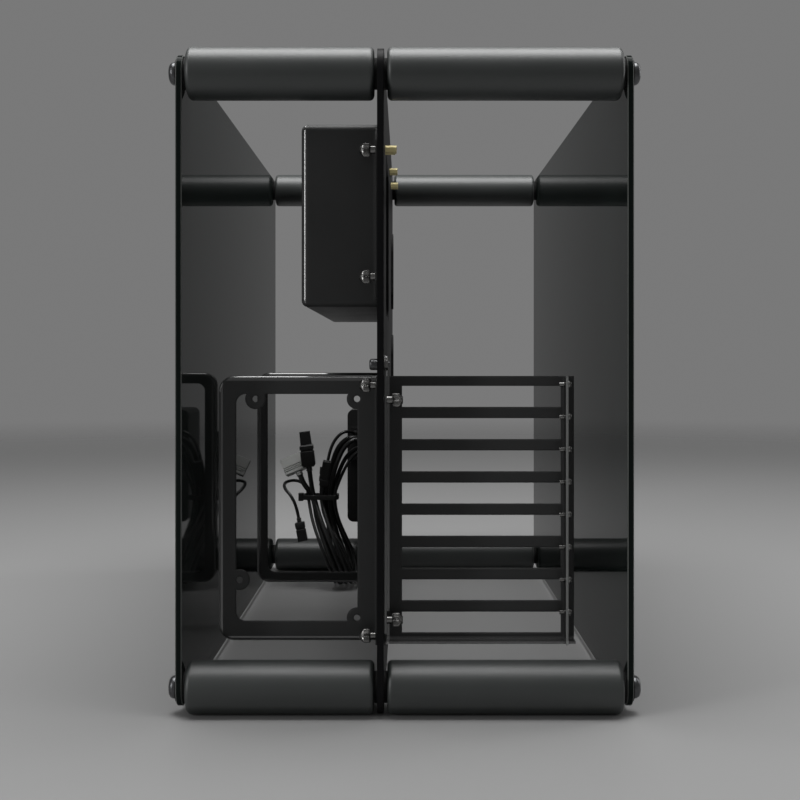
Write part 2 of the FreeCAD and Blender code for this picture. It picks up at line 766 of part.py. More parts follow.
# brass standoffs for the top and bottom rows of a board, and tapped holes for its middle row
board_y = ["back + board_back_setback"]
board_y.append(f"{board_y[0]} + board_second_column")
board_y.append(f"{board_y[1]} + board_third_column")
board_y.append(f"{board_y[2]} + board_fourth_column")
middle_row = "board_top - board_top_row"
low_row = f"{middle_row} - board_middle_row"
standoff_spots = [(board_y[0], "board_top - board_back_drop")]
standoff_spots += [(y, "board_top") for y in board_y[1:]]
standoff_spots += [(y, low_row) for y in board_y]
bore_span = ("plate_right + standoff_height - standoff_bore_depth", "plate_right + standoff_height")
standoffs = []
for y, z in standoff_spots:
    post = hexagon("x", "standoff_across_corners", ("plate_right", "plate_right + standoff_height"), y, z)
    bore = rod("x", "standoff_bore", bore_span, y, z)
    standoffs.append(fuse(cut(post, bore), rod("x", "thumb_thread", PLATE_SPAN, y, z)))
piece("board_standoffs", group(*standoffs))
plate_drills += thread_holes("thumb_thread", PLATE_SPAN, standoff_spots)
plate_drills += thread_holes("thumb_thread", PLATE_SPAN, [(y, middle_row) for y in board_y])


def slot_block(x, spread, middle_y, z):
    """Make an upright block with round ends, as wide as the cable slot plus a spread on each side."""
    radius = f"cable_slot_width / 2 + {spread}"
    straight = "cable_slot_length / 2 - cable_slot_width / 2"
    low, high = f"{z} - ({straight})", f"{z} + {straight}"
    body = box(x, (f"{middle_y} - ({radius})", f"{middle_y} + {radius}"), (low, high))
    ends = [rod("x", f"2 * ({radius})", x, middle_y, level) for level in (low, high)]
    return fuse(body, *ends)


# rubber grommets that line the plate's cable slots; the lower one keeps its distance from the control box
GROMMET_PLACES = {
    "lower": "control_back - grommet_to_control_box - grommet_lip - cable_slot_width / 2",
    "middle": "back + cable_slot_setback",
    "upper": "back + cable_slot_setback",
}
GROMMET_SPAN = ("plate_left - grommet_lip_thickness", "plate_right + grommet_lip_thickness")
for index, (level, y) in enumerate(GROMMET_PLACES.items()):
    z = f"cable_slot_low + {index} * cable_slot_pitch"
    lips = [
        slot_block((GROMMET_SPAN[0], "plate_left"), "grommet_lip", y, z),
        slot_block(("plate_right", GROMMET_SPAN[1]), "grommet_lip", y, z),
    ]
    core = slot_block(PLATE_SPAN, "(-thread_gap)", y, z)
    way = slot_block(GROMMET_SPAN, "(-grommet_wall)", y, z)
    piece(f"{level}_grommet", cut(fuse(core, *lips), way))
    plate_drills.append(slot_block(PLATE_SPAN, 0, y, z))

# control box at the front of the plate: a housing open to the front,
# closed by a face with sockets and buttons
housing_blank = box(("control_left", "plate_left"), ("control_back", "control_front"),
                    ("control_box_bottom", "control_top"))
control_side = number("control_left")


def control_corner(blank, radius, side):
    """Round the two long corners on the far side from the plate."""
    return treat("Fillet", blank, radius, lambda edge, middle: along(edge, "y") and near(middle.x, side))


housing = control_corner(housing_blank, number("control_box_corner"), control_side)
control_wall = number("control_box_wall")
housing_hollow = box(
    ("control_left + control_box_wall", "plate_left - control_box_wall"),
    ("control_back + control_box_wall", "control_front"),
    ("control_box_bottom + control_box_wall", "control_top - control_box_wall"),
)
housing_inside = control_corner(
    housing_hollow, number("control_box_corner") - control_wall, control_side + control_wall
)
post_x = ("control_left + control_box_wall + post_inset", "plate_left - control_box_wall - post_inset")
post_z = ("control_box_bottom + control_box_wall + post_inset", "control_top - control_box_wall - post_inset")
post_spots = [(x, z) for x in post_x for z in post_z]
posts = [rod("y", "post_diameter", ("control_back", "control_board"), x, z) for x, z in post_spots]
POST_BORE = ("control_board - post_screw_length", "control_board")
post_bores = [rod("y", "post_screw_thread + 2 * thread_gap", POST_BORE, x, z) for x, z in post_spots]
control_tab_y = ("control_back + control_tab_length", "control_back + 2 * control_tab_length")
control_tabs = [
    box(LEFT_FLANGE, control_tab_y, ("control_box_bottom - control_tab_height", "control_box_bottom")),
    box(LEFT_FLANGE, control_tab_y, ("control_top", "control_top + control_tab_height")),
]
control_tab_middle = "control_back + 1.5 * control_tab_length"
control_spots = [
    (control_tab_middle, "control_box_bottom - control_tab_height / 2"),
    (control_tab_middle, "control_top + control_tab_height / 2"),
]
housing_body = fuse(cut(housing, housing_inside), *posts, *control_tabs)
housing_drills = post_bores + thread_holes("tab_screw_thread", LEFT_FLANGE, control_spots)
piece("control_housing", cut(housing_body, *housing_drills))
piece("control_housing_screws", tab_screws(control_spots))
plate_drills += thread_holes("tab_screw_thread", PLATE_SPAN, control_spots)

control_board = box(
    ("control_left + control_box_wall + board_gap", "plate_left - control_box_wall - board_gap"),
    ("control_board", "control_board + board_thickness"),
    ("control_box_bottom + control_box_wall + board_gap", "control_top - control_box_wall - board_gap"),
)
board_side = control_side + control_wall + number("board_gap")
cornered_board = control_corner(control_board, number("control_box_corner") - control_wall, board_side)
BOARD_SPAN = ("control_board", "control_board + board_thickness")
board_drills = [rod("y", "post_screw_thread + 2 * thread_gap", BOARD_SPAN, x, z) for x, z in post_spots]
piece("control_board", cut(cornered_board, *board_drills))
BOARD_FRONT = "control_board + board_thickness"
board_screws = []
for x, z in post_spots:
    head = rod("y", "post_screw_head", (BOARD_FRONT, f"{BOARD_FRONT} + post_screw_head_height"), x, z)
    thread_span = ("control_board - post_screw_length + bore_spare", BOARD_FRONT)
    thread = rod("y", "post_screw_thread", thread_span, x, z)
    board_screws.append(fuse(head, thread))
piece("control_board_screws", group(*board_screws))

FACE_DEPTH = ("control_front", "control_face")
face_blank = box(("control_left", "plate_left"), FACE_DEPTH, ("control_box_bottom", "control_top"))
face = control_corner(face_blank, number("control_box_corner"), control_side)
face_drills = []


def level(name):
    """Give a height in the control box, measured from its bottom."""
    return f"control_box_bottom + {name}"


# buttons with a flange behind the face and a stem that reaches a switch on the board
SWITCH_TOP = f"{BOARD_FRONT} + switch_height"
for name in ("power", "reset"):
    wide = f"{name}_button_diameter"
    z = level(f"{name}_button_height")
    cap_span = ("control_front - button_gap", "control_face + button_travel")
    cap = rod("y", wide, cap_span, "control_middle", z)
    flange_back = "control_front - button_gap - button_flange_thickness"
    collar_span = (flange_back, "control_front - button_gap")
    collar = rod("y", f"{wide} + 2 * button_flange", collar_span, "control_middle", z)
    stem_span = (f"{SWITCH_TOP} + button_travel + button_gap", flange_back)
    stem = rod("y", "button_stem", stem_span, "control_middle", z)
    piece(f"{name}_button", fuse(cap, collar, stem))
    face_drills.append(rod("y", f"{wide} + 2 * button_gap", FACE_DEPTH, "control_middle", z))
    half = "switch_side / 2"
    piece(f"{name}_switch", box(
        (f"control_middle - {half}", f"control_middle + {half}"),
        (BOARD_FRONT, SWITCH_TOP),
        (f"{z} - {half}", f"{z} + {half}"),
    ))

# light pipe beside the power button, standing on the board
light_x = "control_middle + light_offset"
light_span = (BOARD_FRONT, "control_face")
piece("power_light", rod("y", "light_diameter", light_span, light_x, level("light_height")))
face_drills.append(rod("y", "light_diameter + 2 * port_gap", FACE_DEPTH, light_x, level("light_height")))


def socket_block(width, height, z, y, spread=0):
    """Make a block across the control box, centred on its middle."""
    half_width = f"({width}) / 2 + {spread}"
    half_height = f"({height}) / 2 + {spread}"
    return box(
        (f"control_middle - ({half_width})", f"control_middle + {half_width}"), y,
        (f"{z} - ({half_height})", f"{z} + {half_height}"),
    )


# sockets that stand on the board and end flush with the face
CAVITY = ("control_face - usb_cavity_depth", "control_face")
usb_sockets = []
for index in range(2):
    z = f"{level('usb_low')} + {index} * usb_pitch"
    shell = socket_block("usb_width", "usb_height", z, (BOARD_FRONT, "control_face"))
    hollow = socket_block("usb_width", "usb_height", z, CAVITY, "(-usb_wall)")
    tongue_y = ("control_face - usb_cavity_depth", "control_face - usb_wall")
    tongue = socket_block("usb_width - 4 * usb_wall", "usb_tongue", z, tongue_y)
    usb_sockets.append(fuse(cut(shell, hollow), tongue))
    face_drills.append(socket_block("usb_width", "usb_height", z, FACE_DEPTH, "port_gap"))
piece("usb_sockets", group(*usb_sockets))

usb_c_z = level("usb_c_centre")
usb_c_shell = socket_block("usb_c_width", "usb_c_height", usb_c_z, (BOARD_FRONT, "control_face"))
usb_c_hollow = socket_block("usb_c_width", "usb_c_height", usb_c_z, CAVITY, "(-usb_wall / 2)")
usb_c_tongue = socket_block("usb_c_width - 3 * usb_wall", "usb_wall", usb_c_z,
                            ("control_face - usb_cavity_depth", "control_face - usb_wall"))
piece("usb_c_socket", fuse(cut(usb_c_shell, usb_c_hollow), usb_c_tongue))
face_drills.append(socket_block("usb_c_width", "usb_c_height", usb_c_z, FACE_DEPTH, "port_gap"))

audio_sockets = []
for index in range(2):
    z = f"{level('audio_low')} + {index} * audio_pitch"
    barrel = rod("y", "audio_diameter", (BOARD_FRONT, "control_face"), "control_middle", z)
    bore = rod("y", "audio_bore", ("control_face - audio_bore_depth", "control_face"), "control_middle", z)
    audio_sockets.append(cut(barrel, bore))
    face_drills.append(rod("y", "audio_diameter + 2 * port_gap", FACE_DEPTH, "control_middle", z))
piece("audio_sockets", group(*audio_sockets))
piece("control_face_panel", cut(face, *face_drills))

# middle plate with its windows, slots and screw holes
cooler_window = box(
    PLATE_SPAN,
    ("back + cooler_window_setback", "back + cooler_window_setback + cooler_window_width"),
    ("cooler_window_bottom", "cooler_window_bottom + cooler_window_height"),
)
plate_drills.append(
    treat("Fillet", cooler_window, number("window_corner_radius"), lambda edge, middle: along(edge, "x"))
)
plate_blank = rounded_panel(PLATE_SPAN, "plate_edge_distance")
piece("middle_plate", cut(plate_blank, *plate_drills))

# leads of the control box: each leaves the gland, arches over, folds near the floor and comes up to its plug
piece("lead_gland", box(
    ("plate_left - gland_width", "plate_left"),
    ("gland_face", "control_back"),
    ("control_box_bottom + gland_bottom", "control_box_bottom + gland_bottom + gland_height"),
))


BEND_SHARE = 0.45
HANK_START = FreeCAD.Vector(number("plate_left"), number("gland_face"), 0)


def lead(name, diameter, points):
    """Make a lead as straight runs joined by tangent arcs, and give its end and last direction."""
    stops = [HANK_START + FreeCAD.Vector(*point) for point in points]
    edges = []
    radii = []
    start = stops[0]
    for before, corner, after in zip(stops, stops[1:], stops[2:]):
        inward, outward = corner - before, after - corner
        turn = inward.getAngle(outward)
        reach = BEND_SHARE * min(inward.Length, outward.Length)
        radii.append(reach / math.tan(turn / 2))
        arc_start = corner - FreeCAD.Vector(inward).normalize() * reach
        arc_end = corner + FreeCAD.Vector(outward).normalize() * reach
        bisector = (FreeCAD.Vector(outward).normalize() - FreeCAD.Vector(inward).normalize()).normalize()
        sagitta = radii[-1] / math.cos(turn / 2) - radii[-1]
        edges.append(Part.LineSegment(start, arc_start).toShape())
        edges.append(Part.Arc(arc_start, corner + bisector * sagitta, arc_end).toShape())
        start = arc_end
    edges.append(Part.LineSegment(start, stops[-1]).toShape())
    route = Part.Wire(edges)
    section = Part.Wire([Part.Circle(stops[0], stops[1] - stops[0], number(diameter) / 2).toShape()])
    tube = route.makePipeShell([section], True, False)
    wanted_volume = math.pi * number(diameter) ** 2 / 4 * route.Length
    print(f"{name}: length {route.Length:.1f}, smallest radius {min(radii):.1f}, "
          f"volume share {tube.Volume / wanted_volume:.4f}")
    item = doc.addObject("Part::Feature", name)
    item.Shape = tube
    piece(name, item)
    return stops[-1], (stops[-1] - stops[-2]).normalize()


def plug(name, lead_name, end, direction):
    """Make a plug block that carries on from a lead's end, with a square neck round the lead."""
    width, thickness, length = [number(f"{name}_{size}") for size in ("width", "thickness", "length")]
    neck = number(f"{lead_name}_diameter") + 2 * number("plug_neck_wall")
    across = direction.cross(FreeCAD.Vector(0, 1, 0)).normalize()
    turn = FreeCAD.Rotation(across, direction.cross(across), direction, "ZXY")
    stem = Part.makeBox(neck, neck, number("plug_neck_length"))
    stem.translate(FreeCAD.Vector(-neck / 2, -neck / 2, 0))
    body = Part.makeBox(width, thickness, length)
    body.translate(FreeCAD.Vector(-width / 2, -thickness / 2, number("plug_neck_length")))
    item = doc.addObject("Part::Feature", name)
    item.Shape = stem.fuse(body).removeSplitter()
    item.Placement = FreeCAD.Placement(end, turn)
    piece(name, item)


# routes measured from the plate's left face, the gland's rear face and the floor
POWER_ROUTE = [
    (-31.5, 0, 144), (-31.5, -10, 144), (-35, -20, 147), (-43, -25, 147), (-51.5, -25.5, 138),
    (-56.3, -25, 124), (-58.5, -25, 106), (-59.4, -25.2, 86), (-58.3, -22.5, 66), (-56, -17.5, 46),
    (-51.3, -12, 26), (-48.7, -22, 6.5), (-49, -40, 4.5), (-52, -53, 18), (-61.5, -50, 41),
    (-71, -35, 63), (-75.6, -21.5, 82), (-77, -19.5, 93), (-83.5, -14, 98.5), (-92, -11.5, 99.5),
    (-99, -19, 98), (-98, -30, 93.5), (-91, -36.5, 87.5), (-85.5, -39, 77), (-83.5, -39, 66.5),
]
USB_ROUTE = [
    (-25.2, 0, 139.5), (-25.2, -9, 139.5), (-29, -17.5, 140.5), (-37.5, -19.5, 141), (-46, -19.5, 134),
    (-51.5, -19.5, 122), (-55.5, -20, 105), (-57, -20.3, 86), (-56.5, -17.5, 66), (-52, -14, 46),
    (-46.3, -12, 26), (-44, -22, 6.5), (-44.3, -40, 4.5), (-47, -53, 18), (-57, -48.5, 41),
    (-66.5, -33.5, 63), (-69.6, -23.5, 80), (-74.3, -25, 90.5), (-80, -24.5, 97), (-83.5, -22, 105),
]
USB_C_ROUTE = [
    (-18.9, 0, 135), (-18.9, -10, 135), (-23, -19.5, 138.5), (-32, -25, 140), (-41.5, -25.5, 132.5),
    (-48, -25.5, 118.5), (-52.5, -25.5, 103), (-54.9, -25.6, 86), (-53.5, -22.5, 66),
    (-47.6, -18.5, 46), (-40.6, -12, 26), (-38.6, -22, 6.5), (-38.9, -40, 4.5), (-41.5, -53, 18),
    (-51.3, -53, 41), (-62, -42, 63), (-69.5, -29, 83), (-72.4, -29.5, 97), (-74, -30, 110),
]
AUDIO_ROUTE = [
    (-12.6, 0, 130.5), (-12.6, -10, 130.5), (-17, -17.5, 131.5), (-27, -20, 132.5), (-37.5, -20, 126),
    (-44.5, -20, 114), (-49, -20, 101), (-51.2, -20.3, 86), (-50, -17.5, 66), (-43, -14, 46),
    (-35.7, -12, 26), (-33.7, -22, 6.5), (-34, -40, 4.5), (-36.5, -53, 18), (-45.7, -53.3, 41),
    (-56.5, -42, 63), (-62.8, -29.5, 82), (-61, -32, 93),
]
LIGHT_ROUTE = [
    (-6.3, 0, 126), (-6.3, -10, 126), (-11.5, -19.5, 130), (-23, -24.5, 131.5), (-34, -25, 123.5),
    (-41.5, -25, 110.5), (-46.5, -25, 99), (-51, -25, 86), (-48.2, -22.5, 66), (-40, -18, 46),
    (-31, -12, 26), (-29.5, -22, 6.5), (-29.8, -40, 4.5), (-32.3, -53, 18), (-41.4, -48.8, 41),
    (-59, -35, 64), (-64.3, -21, 84), (-63.5, -20, 95),
]
LEADS = {
    "power": POWER_ROUTE,
    "usb": USB_ROUTE,
    "usb_c": USB_C_ROUTE,
    "audio": AUDIO_ROUTE,
    "light": LIGHT_ROUTE,
}
for kind, route in LEADS.items():
    tip_place, tip_direction = lead(f"{kind}_lead", f"{kind}_lead_diameter", route)
    plug(f"{kind}_plug", f"{kind}_lead", tip_place, tip_direction)

# strap that ties the hank together where the leads pass each other
tie_place = HANK_START + FreeCAD.Vector(-number("tie_sideways"), -number("tie_inwards"), number("tie_bottom"))
tie_inside = (number("tie_inside_width"), number("tie_inside_depth"))
strap = number("tie_thickness")
outside = Part.makeBox(tie_inside[0] + 2 * strap, tie_inside[1] + 2 * strap, number("tie_width"))
outside.translate(FreeCAD.Vector(-tie_inside[0] / 2 - strap, -tie_inside[1] / 2 - strap, 0))
inside = Part.makeBox(tie_inside[0], tie_inside[1], number("tie_width"))
inside.translate(FreeCAD.Vector(-tie_inside[0] / 2, -tie_inside[1] / 2, 0))
outer_corners = [edge for edge in outside.Edges if along(edge, "z")]
inner_corners = [edge for edge in inside.Edges if along(edge, "z")]
tie = doc.addObject("Part::Feature", "cable_tie")
inner_radius = number("tie_corner_radius")
rounded_outside = outside.makeFillet(inner_radius + strap, outer_corners)
tie.Shape = rounded_outside.cut(inside.makeFillet(inner_radius, inner_corners))
tie.Placement = FreeCAD.Placement(tie_place, FreeCAD.Rotation())
piece("cable_tie", tie)

doc.recompute()
broken = [item.Name for item in doc.Objects if "Invalid" in item.State or "Error" in item.State]
if broken:
    raise RuntimeError("failed objects: " + ", ".join(broken))
for name, item in pieces.items():
    if item.Shape.isNull() or not item.Shape.isValid():
        raise RuntimeError(f"{name} has no valid shape")
os.makedirs("parts", exist_ok=True)
for name, item in pieces.items():
    item.Shape.exportStep(f"parts/{name}.step")
print(len(pieces), "pieces written")
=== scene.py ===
import math

import bmesh
import bpy
import numpy as np
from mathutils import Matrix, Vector


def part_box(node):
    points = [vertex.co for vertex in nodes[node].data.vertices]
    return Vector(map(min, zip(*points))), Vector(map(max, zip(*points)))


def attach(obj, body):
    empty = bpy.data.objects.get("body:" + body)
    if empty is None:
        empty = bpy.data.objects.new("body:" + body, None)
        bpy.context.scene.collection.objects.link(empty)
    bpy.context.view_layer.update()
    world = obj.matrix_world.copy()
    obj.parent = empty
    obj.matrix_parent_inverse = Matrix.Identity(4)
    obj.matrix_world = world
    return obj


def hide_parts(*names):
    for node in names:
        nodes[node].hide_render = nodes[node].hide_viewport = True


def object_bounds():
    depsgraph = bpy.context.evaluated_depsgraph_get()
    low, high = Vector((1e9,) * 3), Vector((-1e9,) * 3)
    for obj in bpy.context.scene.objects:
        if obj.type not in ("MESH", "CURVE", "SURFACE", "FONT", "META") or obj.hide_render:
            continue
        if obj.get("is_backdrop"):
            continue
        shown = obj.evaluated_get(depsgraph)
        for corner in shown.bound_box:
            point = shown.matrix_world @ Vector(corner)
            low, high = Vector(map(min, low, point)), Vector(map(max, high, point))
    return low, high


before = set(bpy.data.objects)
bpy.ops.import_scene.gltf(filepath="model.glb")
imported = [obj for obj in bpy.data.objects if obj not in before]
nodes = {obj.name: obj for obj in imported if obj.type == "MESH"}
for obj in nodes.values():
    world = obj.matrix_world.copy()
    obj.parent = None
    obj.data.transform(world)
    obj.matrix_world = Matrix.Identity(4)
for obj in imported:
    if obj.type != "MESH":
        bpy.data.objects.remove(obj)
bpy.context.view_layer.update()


# The two side panels are 4 mm sheets of smoked float glass, held against the bars by four bolts each.
# The way through the glass is longer at low angles, so its cover grows as it turns away from the eye.
# Its edges look black between two arrises that are painted pale grey, a painted highlight along each
# edge.
class Shade:
    """A shader socket. Arithmetic on it adds Math nodes, and make() adds any other node."""

    def __init__(self, tree, socket=None):
        self.tree = tree
        self.socket = socket

    def make(self, kind, settings=None, inputs=None, output=0):
        """Add a node of this kind: its settings first, then the values or links of its sockets."""
        node = self.tree.nodes.new("ShaderNode" + kind)
        for name, value in (settings or {}).items():
            setattr(node, name, value)
        for key, value in (inputs or {}).items():
            if isinstance(value, Shade):
                self.tree.links.new(value.socket, node.inputs[key])
            else:
                node.inputs[key].default_value = value
        return Shade(self.tree, node.outputs[output])

    def work_out(self, operation, first, second):
        """Do one piece of arithmetic on two values."""
        return self.make("Math", {"operation": operation}, {0: first, 1: second})

    def __add__(self, other):
        return self.work_out("ADD", self, other)

    __radd__ = __add__

    def __sub__(self, other):
        return self.work_out("SUBTRACT", self, other)

    def __rsub__(self, other):
        return self.work_out("SUBTRACT", other, self)

    def __mul__(self, other):
        return self.work_out("MULTIPLY", self, other)

    __rmul__ = __mul__

    def __lt__(self, other):
        return self.work_out("LESS_THAN", self, other)

    def __gt__(self, other):
        return self.work_out("GREATER_THAN", self, other)

    def __abs__(self):
        return self.work_out("ABSOLUTE", self, 0)

    def tint(self, dark, light):
        """Go from one colour to another as this value goes from 0 to 1. Either may be a tint already."""
        ends = [end if isinstance(end, Shade) else (*end, 1) for end in (dark, light)]
        return self.make("Mix", {"data_type": "RGBA"}, {0: self, 6: ends[0], 7: ends[1]}, 2)

    def parts(self):
        """Split a vector into its three values."""
        return [self.make("SeparateXYZ", None, {"Vector": self}, axis) for axis in range(3)]

    def noise(self, spots, detail):
        """Cloudy noise read at this place, with about so many spots in a metre."""
        return self.make("TexNoise", None, {"Vector": self, "Scale": spots, "Detail": detail})

    def relief(self, height, edge=None):
        """A normal whose bumps stand this high, in metres, on an edge that may be softened already."""
        inputs = {"Height": self, "Distance": height, "Strength": 1}
        if edge is not None:
            inputs["Normal"] = edge
        return self.make("Bump", None, inputs)


def finish(name, constants):
    """Begin a material with the constants on its shader's own sockets.
    Gives the material and the place on the object to read patterns from."""
    made = bpy.data.materials.new(name)
    made.use_nodes = True
    shader = made.node_tree.nodes["Principled BSDF"]
    for socket, value in constants.items():
        shader.inputs[socket].default_value = value
    return made, Shade(made.node_tree).make("TexCoord", output="Object")


def feed(material, **shades):
    """Link what changes over the surface to the material's shader."""
    shader = material.node_tree.nodes["Principled BSDF"]
    for socket, shade in shades.items():
        material.node_tree.links.new(shade.socket, shader.inputs[socket.replace("_", " ")])
    return material


def dress(material, *names):
    """Give CAD nodes a material."""
    for name in names:
        slots = nodes[name].data.materials
        slots.clear()
        slots.append(material)


GLASS_TINT = (0.008, 0.011, 0.010)
GLASS_ROUGHNESS = 0.015
SMEAR_ROUGHNESS = 0.03
FACE_COVER = 0.4
SLANT_COVER = 0.64
FACE_SKIN = 0.00005
# Painted highlight: the pale grey painted on the two arrises along each edge, where they catch the light.
ARRIS_HIGHLIGHT_TINT = (0.12, 0.125, 0.12)
ARRIS_WIDTH = 0.0006
ARRIS_ROUGHNESS = 0.35
glass, place = finish("smoked_glass", {"Specular IOR Level": 0.03})
smears = place.noise(spots=14, detail=4)
slant = place.make("LayerWeight", None, {"Blend": 0.5}, "Facing")
panel_low, panel_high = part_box("right_glass_panel")
panel_middle = (panel_low.x + panel_high.x) / 2
panel_half = (panel_high.x - panel_low.x) / 2
inset = abs(abs(place.parts()[0]) - panel_middle)
edge = inset < panel_half - FACE_SKIN
# Mask of the arrises that get the painted highlight.
arris_highlight = edge * (inset > panel_half - ARRIS_WIDTH)
feed(
    glass,
    Base_Color=arris_highlight.tint(GLASS_TINT, ARRIS_HIGHLIGHT_TINT),
    Roughness=GLASS_ROUGHNESS + SMEAR_ROUGHNESS * smears + ARRIS_ROUGHNESS * arris_highlight,
    Alpha=FACE_COVER + SLANT_COVER * slant + edge,
)
dress(glass, "left_glass_panel", "right_glass_panel")

# Eight bars of round aluminium, 32 mm thick, turned, bead blasted and anodised dark grey.
# Their ends are rounded over 3 mm and tapped for the bolts and studs.
BAR_GREY = (0.022, 0.026, 0.025)
BAR_GREY_WORN = (0.030, 0.034, 0.033)
BAR_ROUGHNESS = 0.38
BAR_CLOUDING = 0.08
BAR_BLASTING = 0.05
bar_metal, place = finish("anodised_bar", {"Specular IOR Level": 0.8})
blasting = place.noise(spots=5200, detail=2)
cloud = place.noise(spots=22, detail=3)
feed(
    bar_metal,
    Base_Color=cloud.tint(BAR_GREY, BAR_GREY_WORN),
    Roughness=BAR_ROUGHNESS + BAR_CLOUDING * cloud + BAR_BLASTING * blasting,
    Normal=blasting.relief(height=0.00003),
)
dress(bar_metal, *[name for name in nodes if name.endswith("_bar")])


# Soft washers keep the bars off the glass and the plate, and thin gaskets sit under the bolt heads.
# Both are punched from black rubber sheet.
def soft_edge(place, radius):
    """A normal that turns round every sharp edge over this radius, as a ground or blasted edge does."""
    return place.make("Bevel", {"samples": 4}, {"Radius": radius})


def grained(name, constants, dark, light, spots, detail, rough, rougher,
            bump=0, rounding=0, stretch=None):
    """A finish with one noise in it, which tints the colour, adds to the roughness and stands up
    as bumps. Edges are softened over the rounding, and a stretch sets the spots along each axis."""
    made, place = finish(name, constants)
    spread = place.make("Mapping", None, {"Vector": place, "Scale": stretch}) if stretch else place
    grain = spread.noise(spots, detail)
    shades = {"Base_Color": grain.tint(dark, light), "Roughness": rough + rougher * grain}
    edge = soft_edge(place, rounding) if rounding else None
    if bump:
        shades["Normal"] = grain.relief(bump, edge)
    elif rounding:
        shades["Normal"] = edge
    return feed(made, **shades)


rubber = grained(
    "black_rubber", {"Specular IOR Level": 0.35},
    dark=(0.010, 0.010, 0.010), light=(0.024, 0.024, 0.024), spots=2600, detail=3,
    rough=0.7, rougher=0.2, bump=0.00008, rounding=0.0004,
)
dress(rubber, *[name for name in nodes if name.endswith(("_washers", "_gaskets"))])

# Dome-head bolts with a hexagon socket hold the glass, and studs join the bars through the plate.
# The bolts, and one screw through the plate above the brackets, are blackened steel, turned all over.
# The studs are bare drawn steel.
bolt_steel = grained(
    "blackened_steel", {"Metallic": 0.9},
    dark=(0.075, 0.077, 0.080), light=(0.12, 0.122, 0.125), spots=900, detail=2,
    rough=0.24, rougher=0.14, bump=0.00002, rounding=0.0003,
)
dress(bolt_steel, "left_panel_bolts", "right_panel_bolts", "rear_screw")
bare_steel = grained(
    "bare_steel", {"Metallic": 1},
    dark=(0.45, 0.45, 0.44), light=(0.62, 0.62, 0.61), spots=1, detail=2,
    rough=0.22, rougher=0.2, stretch=(40, 2600, 2600),
)
dress(bare_steel, "joining_studs")

# The middle plate carries everything. It is 4 mm aluminium, routed, its edges broken
# with a fine chamfer, then anodised black.
PLATE_BLACK = (0.004, 0.004, 0.0045)
PLATE_BLACK_WORN = (0.007, 0.007, 0.0075)
PLATE_ROUGHNESS = 0.4
PLATE_CLOUDING = 0.12
plate_metal, place = finish("black_plate", {"Specular IOR Level": 0.08})
cloud = place.noise(spots=9, detail=4)
rolling = place.noise(spots=1800, detail=2)
feed(
    plate_metal,
    Base_Color=cloud.tint(PLATE_BLACK, PLATE_BLACK_WORN),
    Roughness=PLATE_ROUGHNESS + PLATE_CLOUDING * cloud,
    Normal=rolling.relief(height=0.000006, edge=soft_edge(place, radius=0.0007)),
)
dress(plate_metal, "middle_plate")

# The card bracket, supply frame, supply ring and drive cage are folded from 1.5 mm steel sheet and
# coated with satin black powder, which leaves a fine orange peel and rounds every edge and fold. The coat
# is glossier where it runs thick over the outer folds. The cut edge of the card ledge is painted light
# grey, a painted highlight where the light from above catches it.
POWDER_BLACK = (0.022, 0.0225, 0.0225)
POWDER_BLACK_WORN = (0.032, 0.0325, 0.0325)
POWDER_ROUGHNESS = 0.4
POWDER_CLOUDING = 0.12
FOLD_WIDTH = 0.003
SHEET_ROUNDING = {
    "slot_bracket": 0.002,
    "supply_frame": 0.002,
    "supply_ring": 0.002,
    "drive_cage": 0.003,
}
CUT_EDGE_SKIN = 0.0004
# Painted highlight: the light grey painted on the cut edge of the card ledge.
CUT_EDGE_HIGHLIGHT_GREY = (0.24, 0.245, 0.24)
LEDGE_HALF_DEPTH = 0.006
screw_low, screw_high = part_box("card_screws")
ledge_rear = (screw_low.y + screw_high.y) / 2 - LEDGE_HALF_DEPTH
for name, rounding in SHEET_ROUNDING.items():
    low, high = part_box(name)
    gloss = {"Specular IOR Level": 0.3, "Coat Roughness": 0.08, "Coat IOR": 2.0}
    sheet_black, place = finish(f"{name}_coat", gloss)
    peel = place.noise(spots=1300, detail=2)
    cloud = place.noise(spots=30, detail=3)
    x, y, z = place.parts()
    powder = cloud.tint(POWDER_BLACK, POWDER_BLACK_WORN)
    # The ledge's cut edge gets a painted highlight of light grey over the powder colour.
    if name == "slot_bracket":
        cut_edge_highlight = (y < ledge_rear + CUT_EDGE_SKIN) * (x > screw_low.x)
        powder = cut_edge_highlight.tint(powder, CUT_EDGE_HIGHLIGHT_GREY)
    feed(
        sheet_black,
        Base_Color=powder,
        Roughness=POWDER_ROUGHNESS + POWDER_CLOUDING * cloud,
        Coat_Weight=(x < low.x + FOLD_WIDTH) + (z < low.z + FOLD_WIDTH) + (z > high.z - FOLD_WIDTH),
        Normal=peel.relief(height=0.00001, edge=soft_edge(place, rounding)),
    )
    dress(sheet_black, name)

# Thumbscrews with a knurled grip hold the brackets on the plate, two to each bracket.
# They are turned steel, black-nickel plated: a plain collar, a straight-knurled grip,
# and a cone with a cross recess.
nickel = grained(
    "nickel_plate", {"Metallic": 1},
    dark=(0.17, 0.168, 0.165), light=(0.27, 0.267, 0.26), spots=700, detail=3,
    rough=0.14, rougher=0.14, rounding=0.00015,
)
SHARP_ANGLE = math.radians(35)
MERGE_DISTANCE = 1e-6
SLIVER = 1e-7
RECESS_ARMS = 4
ARM_STEEPNESS = 2
ARM_NARROWING = 0.6


